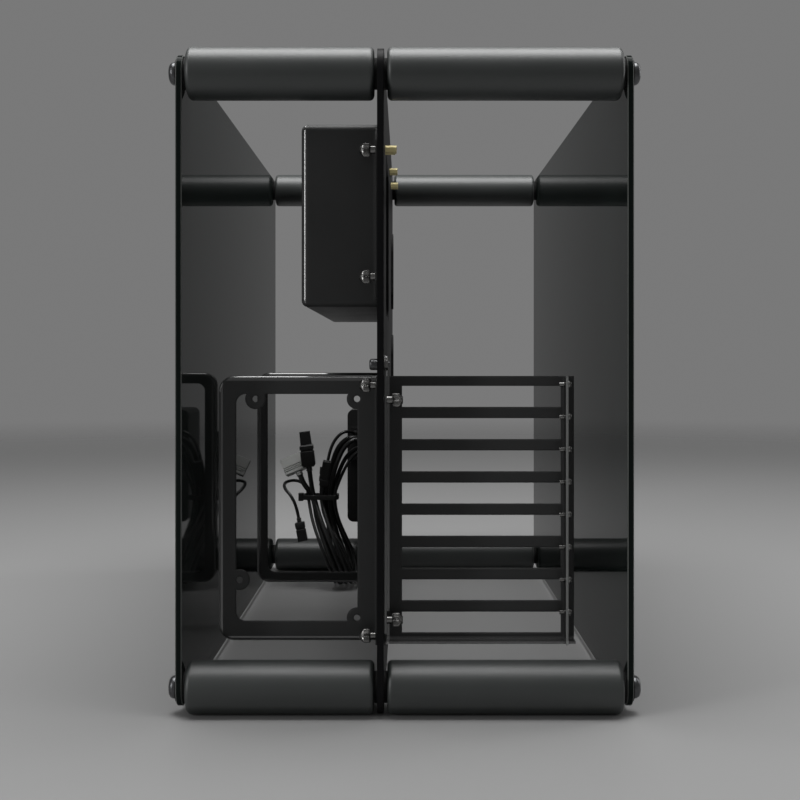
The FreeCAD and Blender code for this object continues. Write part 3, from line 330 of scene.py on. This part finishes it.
def skin(name, patches, material):
    """Join grids of points into one closed mesh: neighbours in both directions of a grid make
    its faces, and a grid that wraps joins its last column to its first."""
    points, faces, start = [], [], 0
    for grid, wraps in patches:
        rows, columns = grid.shape[:2]
        index = start + np.arange(rows * columns).reshape(rows, columns)
        if wraps:
            index = np.concatenate([index, index[:, :1]], axis=1)
        quads = np.stack([index[:-1, :-1], index[:-1, 1:], index[1:, 1:], index[1:, :-1]], axis=-1)
        points.append(grid.reshape(-1, 3))
        faces.append(quads.reshape(-1, 4))
        start += rows * columns
    mesh = bpy.data.meshes.new(name)
    mesh.from_pydata(np.concatenate(points).tolist(), [], np.concatenate(faces).tolist())
    work = bmesh.new()
    work.from_mesh(mesh)
    bmesh.ops.remove_doubles(work, verts=work.verts, dist=MERGE_DISTANCE)
    bmesh.ops.dissolve_degenerate(work, edges=work.edges, dist=SLIVER)
    bmesh.ops.recalc_face_normals(work, faces=work.faces)
    work.to_mesh(mesh)
    work.free()
    mesh.polygons.foreach_set("use_smooth", np.ones(len(mesh.polygons), bool))
    mesh.set_sharp_from_angle(angle=SHARP_ANGLE)
    mesh.materials.append(material)
    made = bpy.data.objects.new(name, mesh)
    bpy.context.scene.collection.objects.link(made)
    return made


def aim(along, across, out, spot):
    """Lay points given as (across, out, along) on three directions from a spot."""
    axes = np.array([across, out, along], float)
    return lambda points: points @ axes + np.array(spot, float)


def turned(profile, columns, teeth=0, tooth_rows=(), tooth_depth=0.0, cross_rows=(), cross_depth=0.0):
    """A profile of (distance, radius) turned round the axis: x and y are the radius times the sine
    and cosine of the angle. Toothed rows shrink where a cosine of the angle dips, and crossed rows
    sink along four arms."""
    distance, radius = np.array(profile, float).T
    angle = np.linspace(0, 2 * np.pi, columns, endpoint=False)
    wave = 0.5 - 0.5 * np.cos(teeth * angle)
    arms = np.clip(np.cos(RECESS_ARMS * angle) * ARM_STEEPNESS - ARM_NARROWING, 0, 1)
    toothed = np.isin(np.arange(len(radius)), tooth_rows)[:, None]
    crossed = np.isin(np.arange(len(radius)), cross_rows)[:, None]
    r = radius[:, None] - toothed * tooth_depth * wave
    z = distance[:, None] - crossed * cross_depth * arms
    return np.stack([r * np.sin(angle), r * np.cos(angle), z + 0 * angle], axis=-1)


def screw_column(name, node, screw, outward, count):
    """Stand copies of a screw above each other where the node has its own: evenly from its lowest
    to its highest, with their heads at the node's outer end."""
    low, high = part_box(node)
    radius = (high.y - low.y) / 2
    reach = screw[..., 2].max()
    seat = high.x - reach if outward > 0 else low.x + reach
    patches = []
    for z in np.linspace(low.z + radius, high.z - radius, count):
        put = aim((outward, 0, 0), (0, 1, 0), (0, 0, 1), (seat, (low.y + high.y) / 2, z))
        patches.append((put(screw), True))
    made = skin(name, patches, nickel)
    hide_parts(node)
    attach(made, "case")


THUMB_PROFILE = [
    (-0.0051, 0), (-0.0051, 0.00175), (0, 0.00175), (0, 0.0025), (0.0032, 0.0025), (0.0032, 0.0037),
    (0.0035, 0.00405), (0.0038, 0.00415), (0.0055, 0.00415), (0.0072, 0.00415), (0.0076, 0.00395),
    (0.0088, 0.0031), (0.00985, 0.0023), (0.01, 0.002), (0.01, 0.0017), (0.0098, 0.0012),
    (0.0096, 0.0006), (0.0096, 0),
]
THUMB_TEETH = 30
thumbscrew = turned(
    THUMB_PROFILE, columns=4 * THUMB_TEETH, teeth=THUMB_TEETH, tooth_rows=(6, 7, 8, 9, 10),
    tooth_depth=0.00042, cross_rows=(14, 15, 16, 17), cross_depth=0.0011,
)
THUMB_OUTWARD = {"slot_bracket": 1, "supply_frame": -1, "supply_ring": -1, "drive_cage": -1}
for holds, outward in THUMB_OUTWARD.items():
    screw_column(f"{holds}_knurled_screws", f"{holds}_thumbscrews", thumbscrew, outward, count=2)

# Eight small screws on the bracket's ledge clamp the cards. Their pan heads are nickel plated
# and have a cross recess. The other small screws and the nut have the same plating.
CARD_PROFILE = [
    (-0.005, 0), (-0.005, 0.0014), (0, 0.0014), (0, 0.0025), (0.0012, 0.0025), (0.0019, 0.00225),
    (0.0024, 0.0017), (0.0026, 0.0012), (0.0026, 0.0009), (0.0026, 0.0005), (0.0026, 0),
]
card_screw = turned(CARD_PROFILE, columns=48, cross_rows=(7, 8, 9, 10), cross_depth=0.001)
screw_column("card_pan_screws", "card_screws", card_screw, outward=1, count=8)
dress(nickel, "drive_cage_tab_screws", "control_housing_screws", "control_board_screws")
dress(nickel, "rear_screw_nut")

# Hexagon standoffs carry the main board. They are turned from drawn brass bar
# and screwed into the plate.
brass = grained(
    "turned_brass", {"Metallic": 0.8},
    dark=(0.90, 0.77, 0.36), light=(0.96, 0.86, 0.50), spots=1, detail=2,
    rough=0.3, rougher=0.1, rounding=0.0002, stretch=(3000, 60, 60),
)
dress(brass, "board_standoffs")

# Moulded rubber grommets line the cable slots of the plate, and a rubber gland closes the back
# of the control box where the leads come out.
dress(rubber, "lower_grommet", "middle_grommet", "upper_grommet", "lead_gland")

# The control box at the front is moulded black plastic with a spark-eroded grain: a housing, a flat face
# with openings, and behind it a circuit board that carries the switches, the light and the sockets.
# The sockets are plated steel shells round black plastic tongues.
moulded = grained(
    "moulded_black", {"Specular IOR Level": 0.5},
    dark=(0.012, 0.012, 0.012), light=(0.022, 0.022, 0.022), spots=3200, detail=3,
    rough=0.42, rougher=0.18, bump=0.00006, rounding=0.0005,
)
dress(moulded, "control_housing", "control_face_panel", "power_switch", "reset_switch", "audio_sockets")
board_green = grained(
    "solder_mask", {},
    dark=(0.005, 0.05, 0.025), light=(0.02, 0.11, 0.06), spots=160, detail=1, rough=0.3, rougher=0.2,
)
dress(board_green, "control_board")
LENS_DULL = (0.7, 0.75, 0.8)
LENS_CLEAR = (0.9, 0.93, 0.96)
GLOW_BLUE = (0.6, 0.75, 1)
GLOW_WHITE = (0.8, 0.9, 1)
lens, place = finish("light_lens", {"Emission Strength": 0.4})
frosting = place.noise(spots=900, detail=1)
feed(
    lens,
    Base_Color=frosting.tint(LENS_DULL, LENS_CLEAR),
    Emission_Color=frosting.tint(GLOW_BLUE, GLOW_WHITE),
)
dress(lens, "power_light")
FACE_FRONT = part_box("control_face_panel")[1].y
SHELL_STEEL = (0.52, 0.52, 0.51)
SHELL_ROUGHNESS = 0.25
TONGUE_BLACK = (0.012, 0.012, 0.014)
TONGUE_ROUGHNESS = 0.45
TONGUE_HALF_WIDTH = 0.0059
TONGUE_SETBACK = 0.0125
USB_COUNT = 2
USB_HALF_HEIGHT = 0.0033
USB_TONGUE_HALF = 0.00105
USB_C_TONGUE_HALF = 0.0004
usb_low, usb_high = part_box("usb_sockets")
usb_c_low, usb_c_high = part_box("usb_c_socket")
socket_metal, place = finish("socket_shell", {})
x, y, z = place.parts()
tongue = abs(z - (usb_c_low.z + usb_c_high.z) / 2) < USB_C_TONGUE_HALF
levels = np.linspace(usb_low.z + USB_HALF_HEIGHT, usb_high.z - USB_HALF_HEIGHT, USB_COUNT)
for level in levels.tolist():
    tongue = tongue + (abs(z - level) < USB_TONGUE_HALF)
tongue = tongue * (abs(x - (usb_low.x + usb_high.x) / 2) < TONGUE_HALF_WIDTH)
tongue = tongue * (y > FACE_FRONT - TONGUE_SETBACK)
feed(
    socket_metal,
    Base_Color=tongue.tint(SHELL_STEEL, TONGUE_BLACK),
    Metallic=1 - tongue,
    Roughness=SHELL_ROUGHNESS + (TONGUE_ROUGHNESS - SHELL_ROUGHNESS) * tongue,
)
dress(socket_metal, "usb_sockets", "usb_c_socket")

# The buttons are turned aluminium caps with a dished top and a fine groove. Each has a flange behind
# the face and a stem that reaches its switch, and slides straight in.
cap_metal = grained(
    "satin_cap", {"Metallic": 0.8},
    dark=(0.10, 0.10, 0.105), light=(0.15, 0.15, 0.155), spots=1500, detail=2,
    rough=0.28, rougher=0.15,
)
CAP_COLUMNS = 96
CAP_FLANGE = 0.0015
FLANGE_REAR = -0.0047
FLANGE_FRONT = -0.0033
STEM_RADIUS = 0.002
CAP_BREAK = 0.0004
CAP_GROOVE = [(0, 0.86), (0.0004, 0.84), (0.0004, 0.80)]
CAP_DISH = [(0.0001, 0.78), (0.0005, 0.4), (0.0006, 0)]
for body in ("power_button", "reset_button"):
    low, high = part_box(body)
    stem = low.y - FACE_FRONT
    top = high.y - FACE_FRONT
    r = (high.x - low.x) / 2 - CAP_FLANGE
    cap_profile = [
        (stem, 0), (stem, STEM_RADIUS), (FLANGE_REAR, STEM_RADIUS), (FLANGE_REAR, r + CAP_FLANGE),
        (FLANGE_FRONT, r + CAP_FLANGE), (FLANGE_FRONT, r), (top - CAP_BREAK, r), (top, r - CAP_BREAK),
        *[(top - depth, share * r) for depth, share in CAP_GROOVE + CAP_DISH],
    ]
    centre = ((low.x + high.x) / 2, FACE_FRONT, (low.z + high.z) / 2)
    put = aim((0, 1, 0), (1, 0, 0), (0, 0, 1), centre)
    patches = [(put(turned(cap_profile, CAP_COLUMNS)), True)]
    cap = skin(body.replace("button", "cap"), patches, cap_metal)
    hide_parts(body)
    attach(cap, body)

# The plugs are moulded shells, one grey and the rest black. Each has a ribbed neck round its lead
# and an end face with a pit for every pin.
grey_moulded = grained(
    "moulded_grey", {},
    dark=(0.55, 0.56, 0.54), light=(0.68, 0.69, 0.67), spots=2600, detail=3,
    rough=0.45, rougher=0.15, bump=0.00006,
)
PLUGS = {
    "power": ((0.009, 0.0055, 0.018), (3, 1), 0.0007, moulded, "black_plastic"),
    "usb": ((0.025, 0.008, 0.017), (10, 2), 0.00062, grey_moulded, "grey_plastic"),
    "usb_c": ((0.013, 0.007, 0.034), (1, 1), 0.0012, moulded, "black_plastic"),
    "audio": ((0.008, 0.006, 0.024), (3, 2), 0.0007, moulded, "black_plastic"),
    "light": ((0.005, 0.005, 0.014), (2, 1), 0.0006, moulded, "black_plastic"),
}
PIT_DEPTH = 0.005
PIT_PITCH = 0.0024
USB_PIT_PITCH = 0.0021
NECK = 0.004
NECK_COLUMNS = 24
NECK_GROOVE = 0.0004
NECK_RIB = 0.0008
RIB_COUNT = 3
RIB_START = 0.0030
RIB_PITCH = 0.0018
RIB_DEPTH = 0.0007
PLUG_BEVEL = 0.00025
BEVEL_ANGLE = math.radians(40)


def plug_rows(kind, width, thickness, height):
    """Rows of a plug's shell as (height, half width, half thickness): a plain box with one groove,
    grip ribs on the wide plug, and a stepped nose on the tall one."""
    if kind == "usb":
        rib = [(0, 0), (0.0001, RIB_DEPTH), (0.0009, RIB_DEPTH), (0.001, 0)]
        starts = [RIB_START + RIB_PITCH * i for i in range(RIB_COUNT)]
        ribs = [(start + step, 0, cut) for start in starts for step, cut in rib]
        rows = [(0, 0.001, 0.0008), (0.001, 0, 0), *ribs, (height, 0, 0)]
    elif kind == "usb_c":
        rows = [
            (0, 0.0015, 0.001), (0.002, 0, 0), (0.015, 0, 0), (0.0152, 0.0007, 0.0006),
            (0.0166, 0.0007, 0.0006), (0.0168, 0, 0), (0.020, 0, 0), (0.0215, 0.0012, 0.0012),
            (height, 0.0016, 0.0014),
        ]
    else:
        rows = [
            (0, 0.0004, 0.0004), (0.0006, 0, 0), (0.0055, 0, 0), (0.0056, 0.0004, 0.0004),
            (0.0070, 0.0004, 0.0004), (0.0071, 0, 0), (height, 0, 0),
        ]
    return [(NECK + rise, width / 2 - cut_x, thickness / 2 - cut_y) for rise, cut_x, cut_y in rows]


def pitted_plug(rows, pits_x, pits_y, pit, depth):
    """A plug shell: the rectangle's rim carried up its rows of (height, half width, half thickness),
    and an end face on a grid whose lines are doubled at each pit's edges, so that the face drops
    straight into the pits."""
    top, half_x, half_y = rows[-1]

    def lines(half, centres):
        edges = np.array([[c - pit, c + pit] for c in centres]).ravel()
        doubled = np.concatenate([[-half], np.repeat(edges, 2), [half]])
        inside = np.concatenate([[0], np.tile([0, 1, 1, 0], len(centres)), [0]])
        return np.concatenate([[-half], edges, [half]]), doubled, inside

    xs, wide_x, in_x = lines(half_x, pits_x)
    ys, wide_y, in_y = lines(half_y, pits_y)
    face_x, face_y = np.meshgrid(wide_x, wide_y)
    face = np.stack([face_x, face_y, top - depth * np.outer(in_y, in_x)], axis=-1)
    flat_x = np.full(len(ys) - 1, half_x)
    flat_y = np.full(len(xs) - 1, half_y)
    rim_x = np.concatenate([xs[:-1], flat_x, xs[:0:-1], -flat_x])
    rim_y = np.concatenate([-flat_y, ys[:-1], flat_y, ys[:0:-1]])
    height, wide, thick = np.array(rows, float).T[:, :, None]
    sides = np.stack([rim_x * wide / half_x, rim_y * thick / half_y, height + 0 * rim_x], axis=-1)
    base_x, base_y = np.meshgrid(xs * rows[0][1] / half_x, ys * rows[0][2] / half_y)
    base = np.stack([base_x, base_y, np.full_like(base_x, rows[0][0])], axis=-1)
    return [(sides, True), (face, False), (base, False)]


def ribbed_neck(radius):
    """The neck of a plug: a short sleeve round the lead, turned with three ribs."""
    slim = radius + NECK_GROOVE
    wide = radius + NECK_RIB
    return turned([
        (0, 0), (0, slim), (0.0006, wide), (0.0012, wide), (0.0014, slim), (0.0020, slim),
        (0.0022, wide), (0.0028, wide), (0.0030, slim), (0.0036, slim), (0.0038, wide),
        (0.0043, wide), (0.0043, 0),
    ], NECK_COLUMNS)


def bevel(made, width):
    """Round the sharp edges of a moulded piece."""
    edge = made.modifiers.new("edge", "BEVEL")
    edge.width = width
    edge.segments = 2
    edge.limit_method = "ANGLE"
    edge.angle_limit = BEVEL_ANGLE
    return made


def make_plug(kind, radius, route):
    """Make the plug on the end of a lead's route, in line with its last stretch."""
    size, (across_pits, deep_pits), pit, material, slot_name = PLUGS[kind]
    onward = route[-1] - route[-2]
    onward = onward / np.linalg.norm(onward)
    across = np.cross(onward, (0, 1, 0))
    across = across / np.linalg.norm(across)
    put = aim(onward, across, np.cross(onward, across), route[-1])
    pitch = USB_PIT_PITCH if kind == "usb" else PIT_PITCH
    pits_x = (np.arange(across_pits) - (across_pits - 1) / 2) * pitch
    pits_y = (np.arange(deep_pits) - (deep_pits - 1) / 2) * pitch
    shell = pitted_plug(plug_rows(kind, *size), pits_x, pits_y, pit, PIT_DEPTH)
    patches = [(put(grid), wraps) for grid, wraps in [*shell, (ribbed_neck(radius), True)]]
    plug = bevel(skin(f"{kind}_connector", patches, material), PLUG_BEVEL)
    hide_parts(f"{kind}_plug")
    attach(plug, "case")
    return plug


# A strap ties the hank together where the leads pass each other. It is nylon, toothed on its outer
# face, and its end goes through a square head on the side away from the plate.
nylon = grained(
    "nylon_strap", {"Specular IOR Level": 0.5},
    dark=(0.013, 0.013, 0.013), light=(0.024, 0.024, 0.024), spots=1100, detail=2,
    rough=0.38, rougher=0.15,
)
TIE_THICKNESS = 0.0014
TIE_CORNER = 0.003 + TIE_THICKNESS / 2
TIE_TEETH = 84
TIE_TOOTH_DEPTH = 0.00025
TIE_BEVEL = 0.0002
CORNER_POINTS = 9
HEAD_ROWS = [(0, 0.0031, 0.0034), (0.0008, 0.0034, 0.0036), (0.0048, 0.0034, 0.0036)]
HEAD_SINK = 0.0006
HEAD_OFFSET = 0.003
HEAD_PIT = 0.0013
HEAD_PIT_DEPTH = 0.003
low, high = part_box("cable_tie")
middle = (low + high) / 2
half_x = (high.x - low.x) / 2 - TIE_THICKNESS / 2
half_y = (high.y - low.y) / 2 - TIE_THICKNESS / 2
turn = np.linspace(0, np.pi / 2, CORNER_POINTS)
corners = []
for sign_x, sign_y, start in ((1, 1, 0), (-1, 1, np.pi / 2), (-1, -1, np.pi), (1, -1, 1.5 * np.pi)):
    corner_x = sign_x * (half_x - TIE_CORNER) + TIE_CORNER * np.cos(turn + start)
    corner_y = sign_y * (half_y - TIE_CORNER) + TIE_CORNER * np.sin(turn + start)
    corners.append(np.stack([corner_x, corner_y, turn + start]))
loop_x, loop_y, loop_turn = np.concatenate(corners + [corners[0][:, :1]], axis=1)
loop_turn[-1] += 2 * np.pi
run = np.concatenate([[0], np.cumsum(np.hypot(np.diff(loop_x), np.diff(loop_y)))])
steps = np.linspace(0, run[-1], 2 * TIE_TEETH, endpoint=False)
path_x = np.interp(steps, run, loop_x)[:, None]
path_y = np.interp(steps, run, loop_y)[:, None]
path_turn = np.interp(steps, run, loop_turn)[:, None]
outer = TIE_THICKNESS / 2 - TIE_TOOTH_DEPTH * (np.arange(2 * TIE_TEETH) % 2)
inner = np.full_like(outer, -TIE_THICKNESS / 2)
offsets = np.stack([inner, outer, outer, inner], axis=1)
strap = np.stack([
    middle.x + path_x + offsets * np.cos(path_turn),
    middle.y + path_y + offsets * np.sin(path_turn),
    np.tile([low.z, low.z, high.z, high.z], (2 * TIE_TEETH, 1)),
], axis=-1)
strap = np.concatenate([strap, strap[:1]])
put = aim((-1, 0, 0), (0, 1, 0), (0, 0, 1), (low.x + HEAD_SINK, middle.y - HEAD_OFFSET, middle.z))
head = pitted_plug(HEAD_ROWS, [0], [0], HEAD_PIT, HEAD_PIT_DEPTH)
patches = [(strap, True), *[(put(grid), wraps) for grid, wraps in head]]
tie = bevel(skin("hank_tie", patches, nylon), TIE_BEVEL)
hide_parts("cable_tie")
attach(tie, "case")

# Five leads leave the gland, arch over, fold near the floor and come back up to their plugs.
# Each is a round PVC sleeve. Its diameter and the points of its route are in millimetres, from the left
# face of the plate and the rear of the gland, and its length is in metres.
sleeve = grained(
    "lead_sleeve", {"Specular IOR Level": 0.5},
    dark=(0.010, 0.010, 0.010), light=(0.020, 0.020, 0.020), spots=420, detail=3,
    rough=0.26, rougher=0.16, bump=0.00015,
)
PLATE_LEFT = -16.5
GLAND_REAR = 184
MM_PER_M = 1000
LEADS = {
    "power": (3.0, 0.3715, [
        (-31.5, 0, 144), (-31.5, -10, 144), (-35, -20, 147), (-43, -25, 147), (-51.5, -25.5, 138),
        (-56.3, -25, 124), (-58.5, -25, 106), (-59.4, -25.2, 86), (-58.3, -22.5, 66), (-56, -17.5, 46),
        (-51.3, -12, 26), (-48.7, -22, 6.5), (-49, -40, 4.5), (-52, -53, 18), (-61.5, -50, 41),
        (-71, -35, 63), (-75.6, -21.5, 82), (-77, -19.5, 93), (-83.5, -14, 98.5), (-92, -11.5, 99.5),
        (-99, -19, 98), (-98, -30, 93.5), (-91, -36.5, 87.5), (-85.5, -39, 77), (-83.5, -39, 66.5),
    ]),
    "usb": (5.0, 0.3051, [
        (-25.2, 0, 139.5), (-25.2, -9, 139.5), (-29, -17.5, 140.5), (-37.5, -19.5, 141),
        (-46, -19.5, 134), (-51.5, -19.5, 122), (-55.5, -20, 105), (-57, -20.3, 86),
        (-56.5, -17.5, 66), (-52, -14, 46), (-46.3, -12, 26), (-44, -22, 6.5), (-44.3, -40, 4.5),
        (-47, -53, 18), (-57, -48.5, 41), (-66.5, -33.5, 63), (-69.6, -23.5, 80), (-74.3, -25, 90.5),
        (-80, -24.5, 97), (-83.5, -22, 105),
    ]),
    "usb_c": (4.5, 0.3125, [
        (-18.9, 0, 135), (-18.9, -10, 135), (-23, -19.5, 138.5), (-32, -25, 140),
        (-41.5, -25.5, 132.5), (-48, -25.5, 118.5), (-52.5, -25.5, 103), (-54.9, -25.6, 86),
        (-53.5, -22.5, 66), (-47.6, -18.5, 46), (-40.6, -12, 26), (-38.6, -22, 6.5), (-38.9, -40, 4.5),
        (-41.5, -53, 18), (-51.3, -53, 41), (-62, -42, 63), (-69.5, -29, 83), (-72.4, -29.5, 97),
        (-74, -30, 110),
    ]),
    "audio": (4.0, 0.2866, [
        (-12.6, 0, 130.5), (-12.6, -10, 130.5), (-17, -17.5, 131.5), (-27, -20, 132.5),
        (-37.5, -20, 126), (-44.5, -20, 114), (-49, -20, 101), (-51.2, -20.3, 86), (-50, -17.5, 66),
        (-43, -14, 46), (-35.7, -12, 26), (-33.7, -22, 6.5), (-34, -40, 4.5), (-36.5, -53, 18),
        (-45.7, -53.3, 41), (-56.5, -42, 63), (-62.8, -29.5, 82), (-61, -32, 93),
    ]),
    "light": (3.0, 0.2989, [
        (-6.3, 0, 126), (-6.3, -10, 126), (-11.5, -19.5, 130), (-23, -24.5, 131.5), (-34, -25, 123.5),
        (-41.5, -25, 110.5), (-46.5, -25, 99), (-51, -25, 86), (-48.2, -22.5, 66), (-40, -18, 46),
        (-31, -12, 26), (-29.5, -22, 6.5), (-29.8, -40, 4.5), (-32.3, -53, 18), (-41.4, -48.8, 41),
        (-59, -35, 64), (-64.3, -21, 84), (-63.5, -20, 95),
    ]),
}
exits = []
for kind, (thickness, length, stops) in LEADS.items():
    route = (np.array(stops, float) + (PLATE_LEFT, GLAND_REAR, 0)) / MM_PER_M
    radius = thickness / 2 / MM_PER_M
    curve = bpy.data.curves.new(f"{kind}_cable", "CURVE")
    curve.dimensions = "3D"
    curve.bevel_depth = radius
    curve.bevel_resolution = 5
    curve.use_fill_caps = True
    curve.resolution_u = 10
    line = curve.splines.new("NURBS")
    line.points.add(len(route) - 1)
    line.points.foreach_set("co", np.column_stack([route, np.ones(len(route))]).ravel())
    line.order_u = 3
    line.use_endpoint_u = True
    curve.materials.append(sleeve)
    cable = bpy.data.objects.new(f"{kind}_cable", curve)
    bpy.context.scene.collection.objects.link(cable)
    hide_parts(f"{kind}_lead")
    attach(cable, "case")

    plug = make_plug(kind, radius, route)
    exits.append((radius, route[0]))

# Five tapered collars on the gland hold the leads where they leave the control box.
# They are moulded with it, from the same rubber, with three grooves each so that they bend.
COLLAR_COLUMNS = 28
COLLAR_SINK = -0.001
COLLAR_BASE = 0.0008
COLLAR_END = 0.0062
COLLAR_WALL = 0.0014
COLLAR_TIP_WALL = 0.0004
GROOVE_COUNT = 3
GROOVE_START = 0.0012
GROOVE_PITCH = 0.0016
GROOVE_DEPTH = 0.0003
GROOVE_CUTS = [(0, GROOVE_DEPTH), (0.0005, GROOVE_DEPTH), (0.0007, 0), (0.0014, 0)]
collars = []
for radius, spot in exits:
    root = radius + COLLAR_WALL
    tip = radius + COLLAR_TIP_WALL
    profile = [(COLLAR_SINK, 0), (COLLAR_SINK, root), (COLLAR_BASE, root)]
    for i in range(GROOVE_COUNT):
        start = GROOVE_START + GROOVE_PITCH * i
        r = root + (tip - root) * (i + 0.5) / GROOVE_COUNT
        profile += [(start + step, r - cut) for step, cut in GROOVE_CUTS]
    profile += [(COLLAR_END, tip), (COLLAR_END, 0)]
    put = aim((0, -1, 0), (1, 0, 0), (0, 0, 1), spot)
    collars.append((put(turned(profile, COLLAR_COLUMNS)), True))
gland_collars = skin("lead_collars", collars, rubber)
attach(gland_collars, "case")

# The floor is a plain pale grey disc that fades out into the backdrop,
# so that no horizon shows.
FLOOR_GREY = (0.30, 0.30, 0.30, 1)
FLOOR_RINGS = (0, 0.5, 1.2, 2.5, 5.0)
FLOOR_COLUMNS = 96
FADE_START = 1.0
FADE_END = 3.6
floor_paint, place = finish("pale_floor", {"Base Color": FLOOR_GREY, "Roughness": 0.5})
distance = place.make("VectorMath", {"operation": "LENGTH"}, {0: place}, "Value")
fade = {"Value": distance, "From Min": FADE_START, "From Max": FADE_END, "To Min": 1.0, "To Max": 0.0}
feed(floor_paint, Alpha=place.make("MapRange", {"interpolation_type": "SMOOTHSTEP"}, fade))
floor_points = turned([(0, ring) for ring in FLOOR_RINGS], FLOOR_COLUMNS)
floor = skin("floor", [(floor_points, True)], floor_paint)
floor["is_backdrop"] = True

# Soft studio light comes from a wide lamp overhead, one at each side, and dim grey surroundings.
# The eye, reflections and clear materials see a lighter backdrop than the one that lights the case.
BACKGROUND = 0.19
SURROUND = 0.13
world = bpy.data.worlds.new("studio")
bpy.context.scene.world = world
world.use_nodes = True
sky = Shade(world.node_tree)
shown = sky.make("LightPath", output="Is Camera Ray")
for ray in ("Is Glossy Ray", "Is Transmission Ray"):
    shown = sky.work_out("MAXIMUM", shown, sky.make("LightPath", output=ray))
level = shown * (BACKGROUND - SURROUND) + SURROUND
backdrop = world.node_tree.nodes["Background"]
backdrop.inputs["Color"].default_value = (1, 1, 1, 1)
world.node_tree.links.new(level.socket, backdrop.inputs["Strength"])
LAMPS = {
    "top_lamp": ((0, -0.15, 1.75), (1.6, 1.0), 36),
    "left_lamp": ((-1.6, -1.3, 0.75), (0.3, 1.1), 10),
    "right_lamp": ((1.8, 0.5, 1.1), (0.4, 1.6), 8),
}
LOOK_AT = Vector((0, 0, 0.2))
for name, (spot, size, power) in LAMPS.items():
    data = bpy.data.lights.new(name, "AREA")
    data.shape = "RECTANGLE"
    data.size, data.size_y = size
    data.energy = power
    lamp = bpy.data.objects.new(name, data)
    lamp.location = spot
    lamp.rotation_euler = (LOOK_AT - Vector(spot)).to_track_quat("-Z", "Y").to_euler()
    bpy.context.scene.collection.objects.link(lamp)

# The camera looks straight at the back of the case, level, from a little over its middle.
# Its lens is shifted so that the lines along the case meet where they do in the picture.
IMAGE_SIDE = 800
FOCAL_PIXELS = 1165
VANISHING_POINT = (404.6, 360.7)
CAMERA_SPOT = (0, -0.955, 0.215)
view = bpy.data.cameras.new("camera")
view.sensor_width = 36
view.lens = view.sensor_width * FOCAL_PIXELS / IMAGE_SIDE
view.shift_x = (IMAGE_SIDE / 2 - VANISHING_POINT[0]) / IMAGE_SIDE
view.shift_y = (VANISHING_POINT[1] - IMAGE_SIDE / 2) / IMAGE_SIDE
camera = bpy.data.objects.new("camera", view)
camera.location = CAMERA_SPOT
camera.rotation_euler = (math.radians(90), 0, 0)
bpy.context.scene.collection.objects.link(camera)
bpy.context.scene.camera = camera
bpy.context.scene.view_settings.view_transform = "Standard"

low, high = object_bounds()
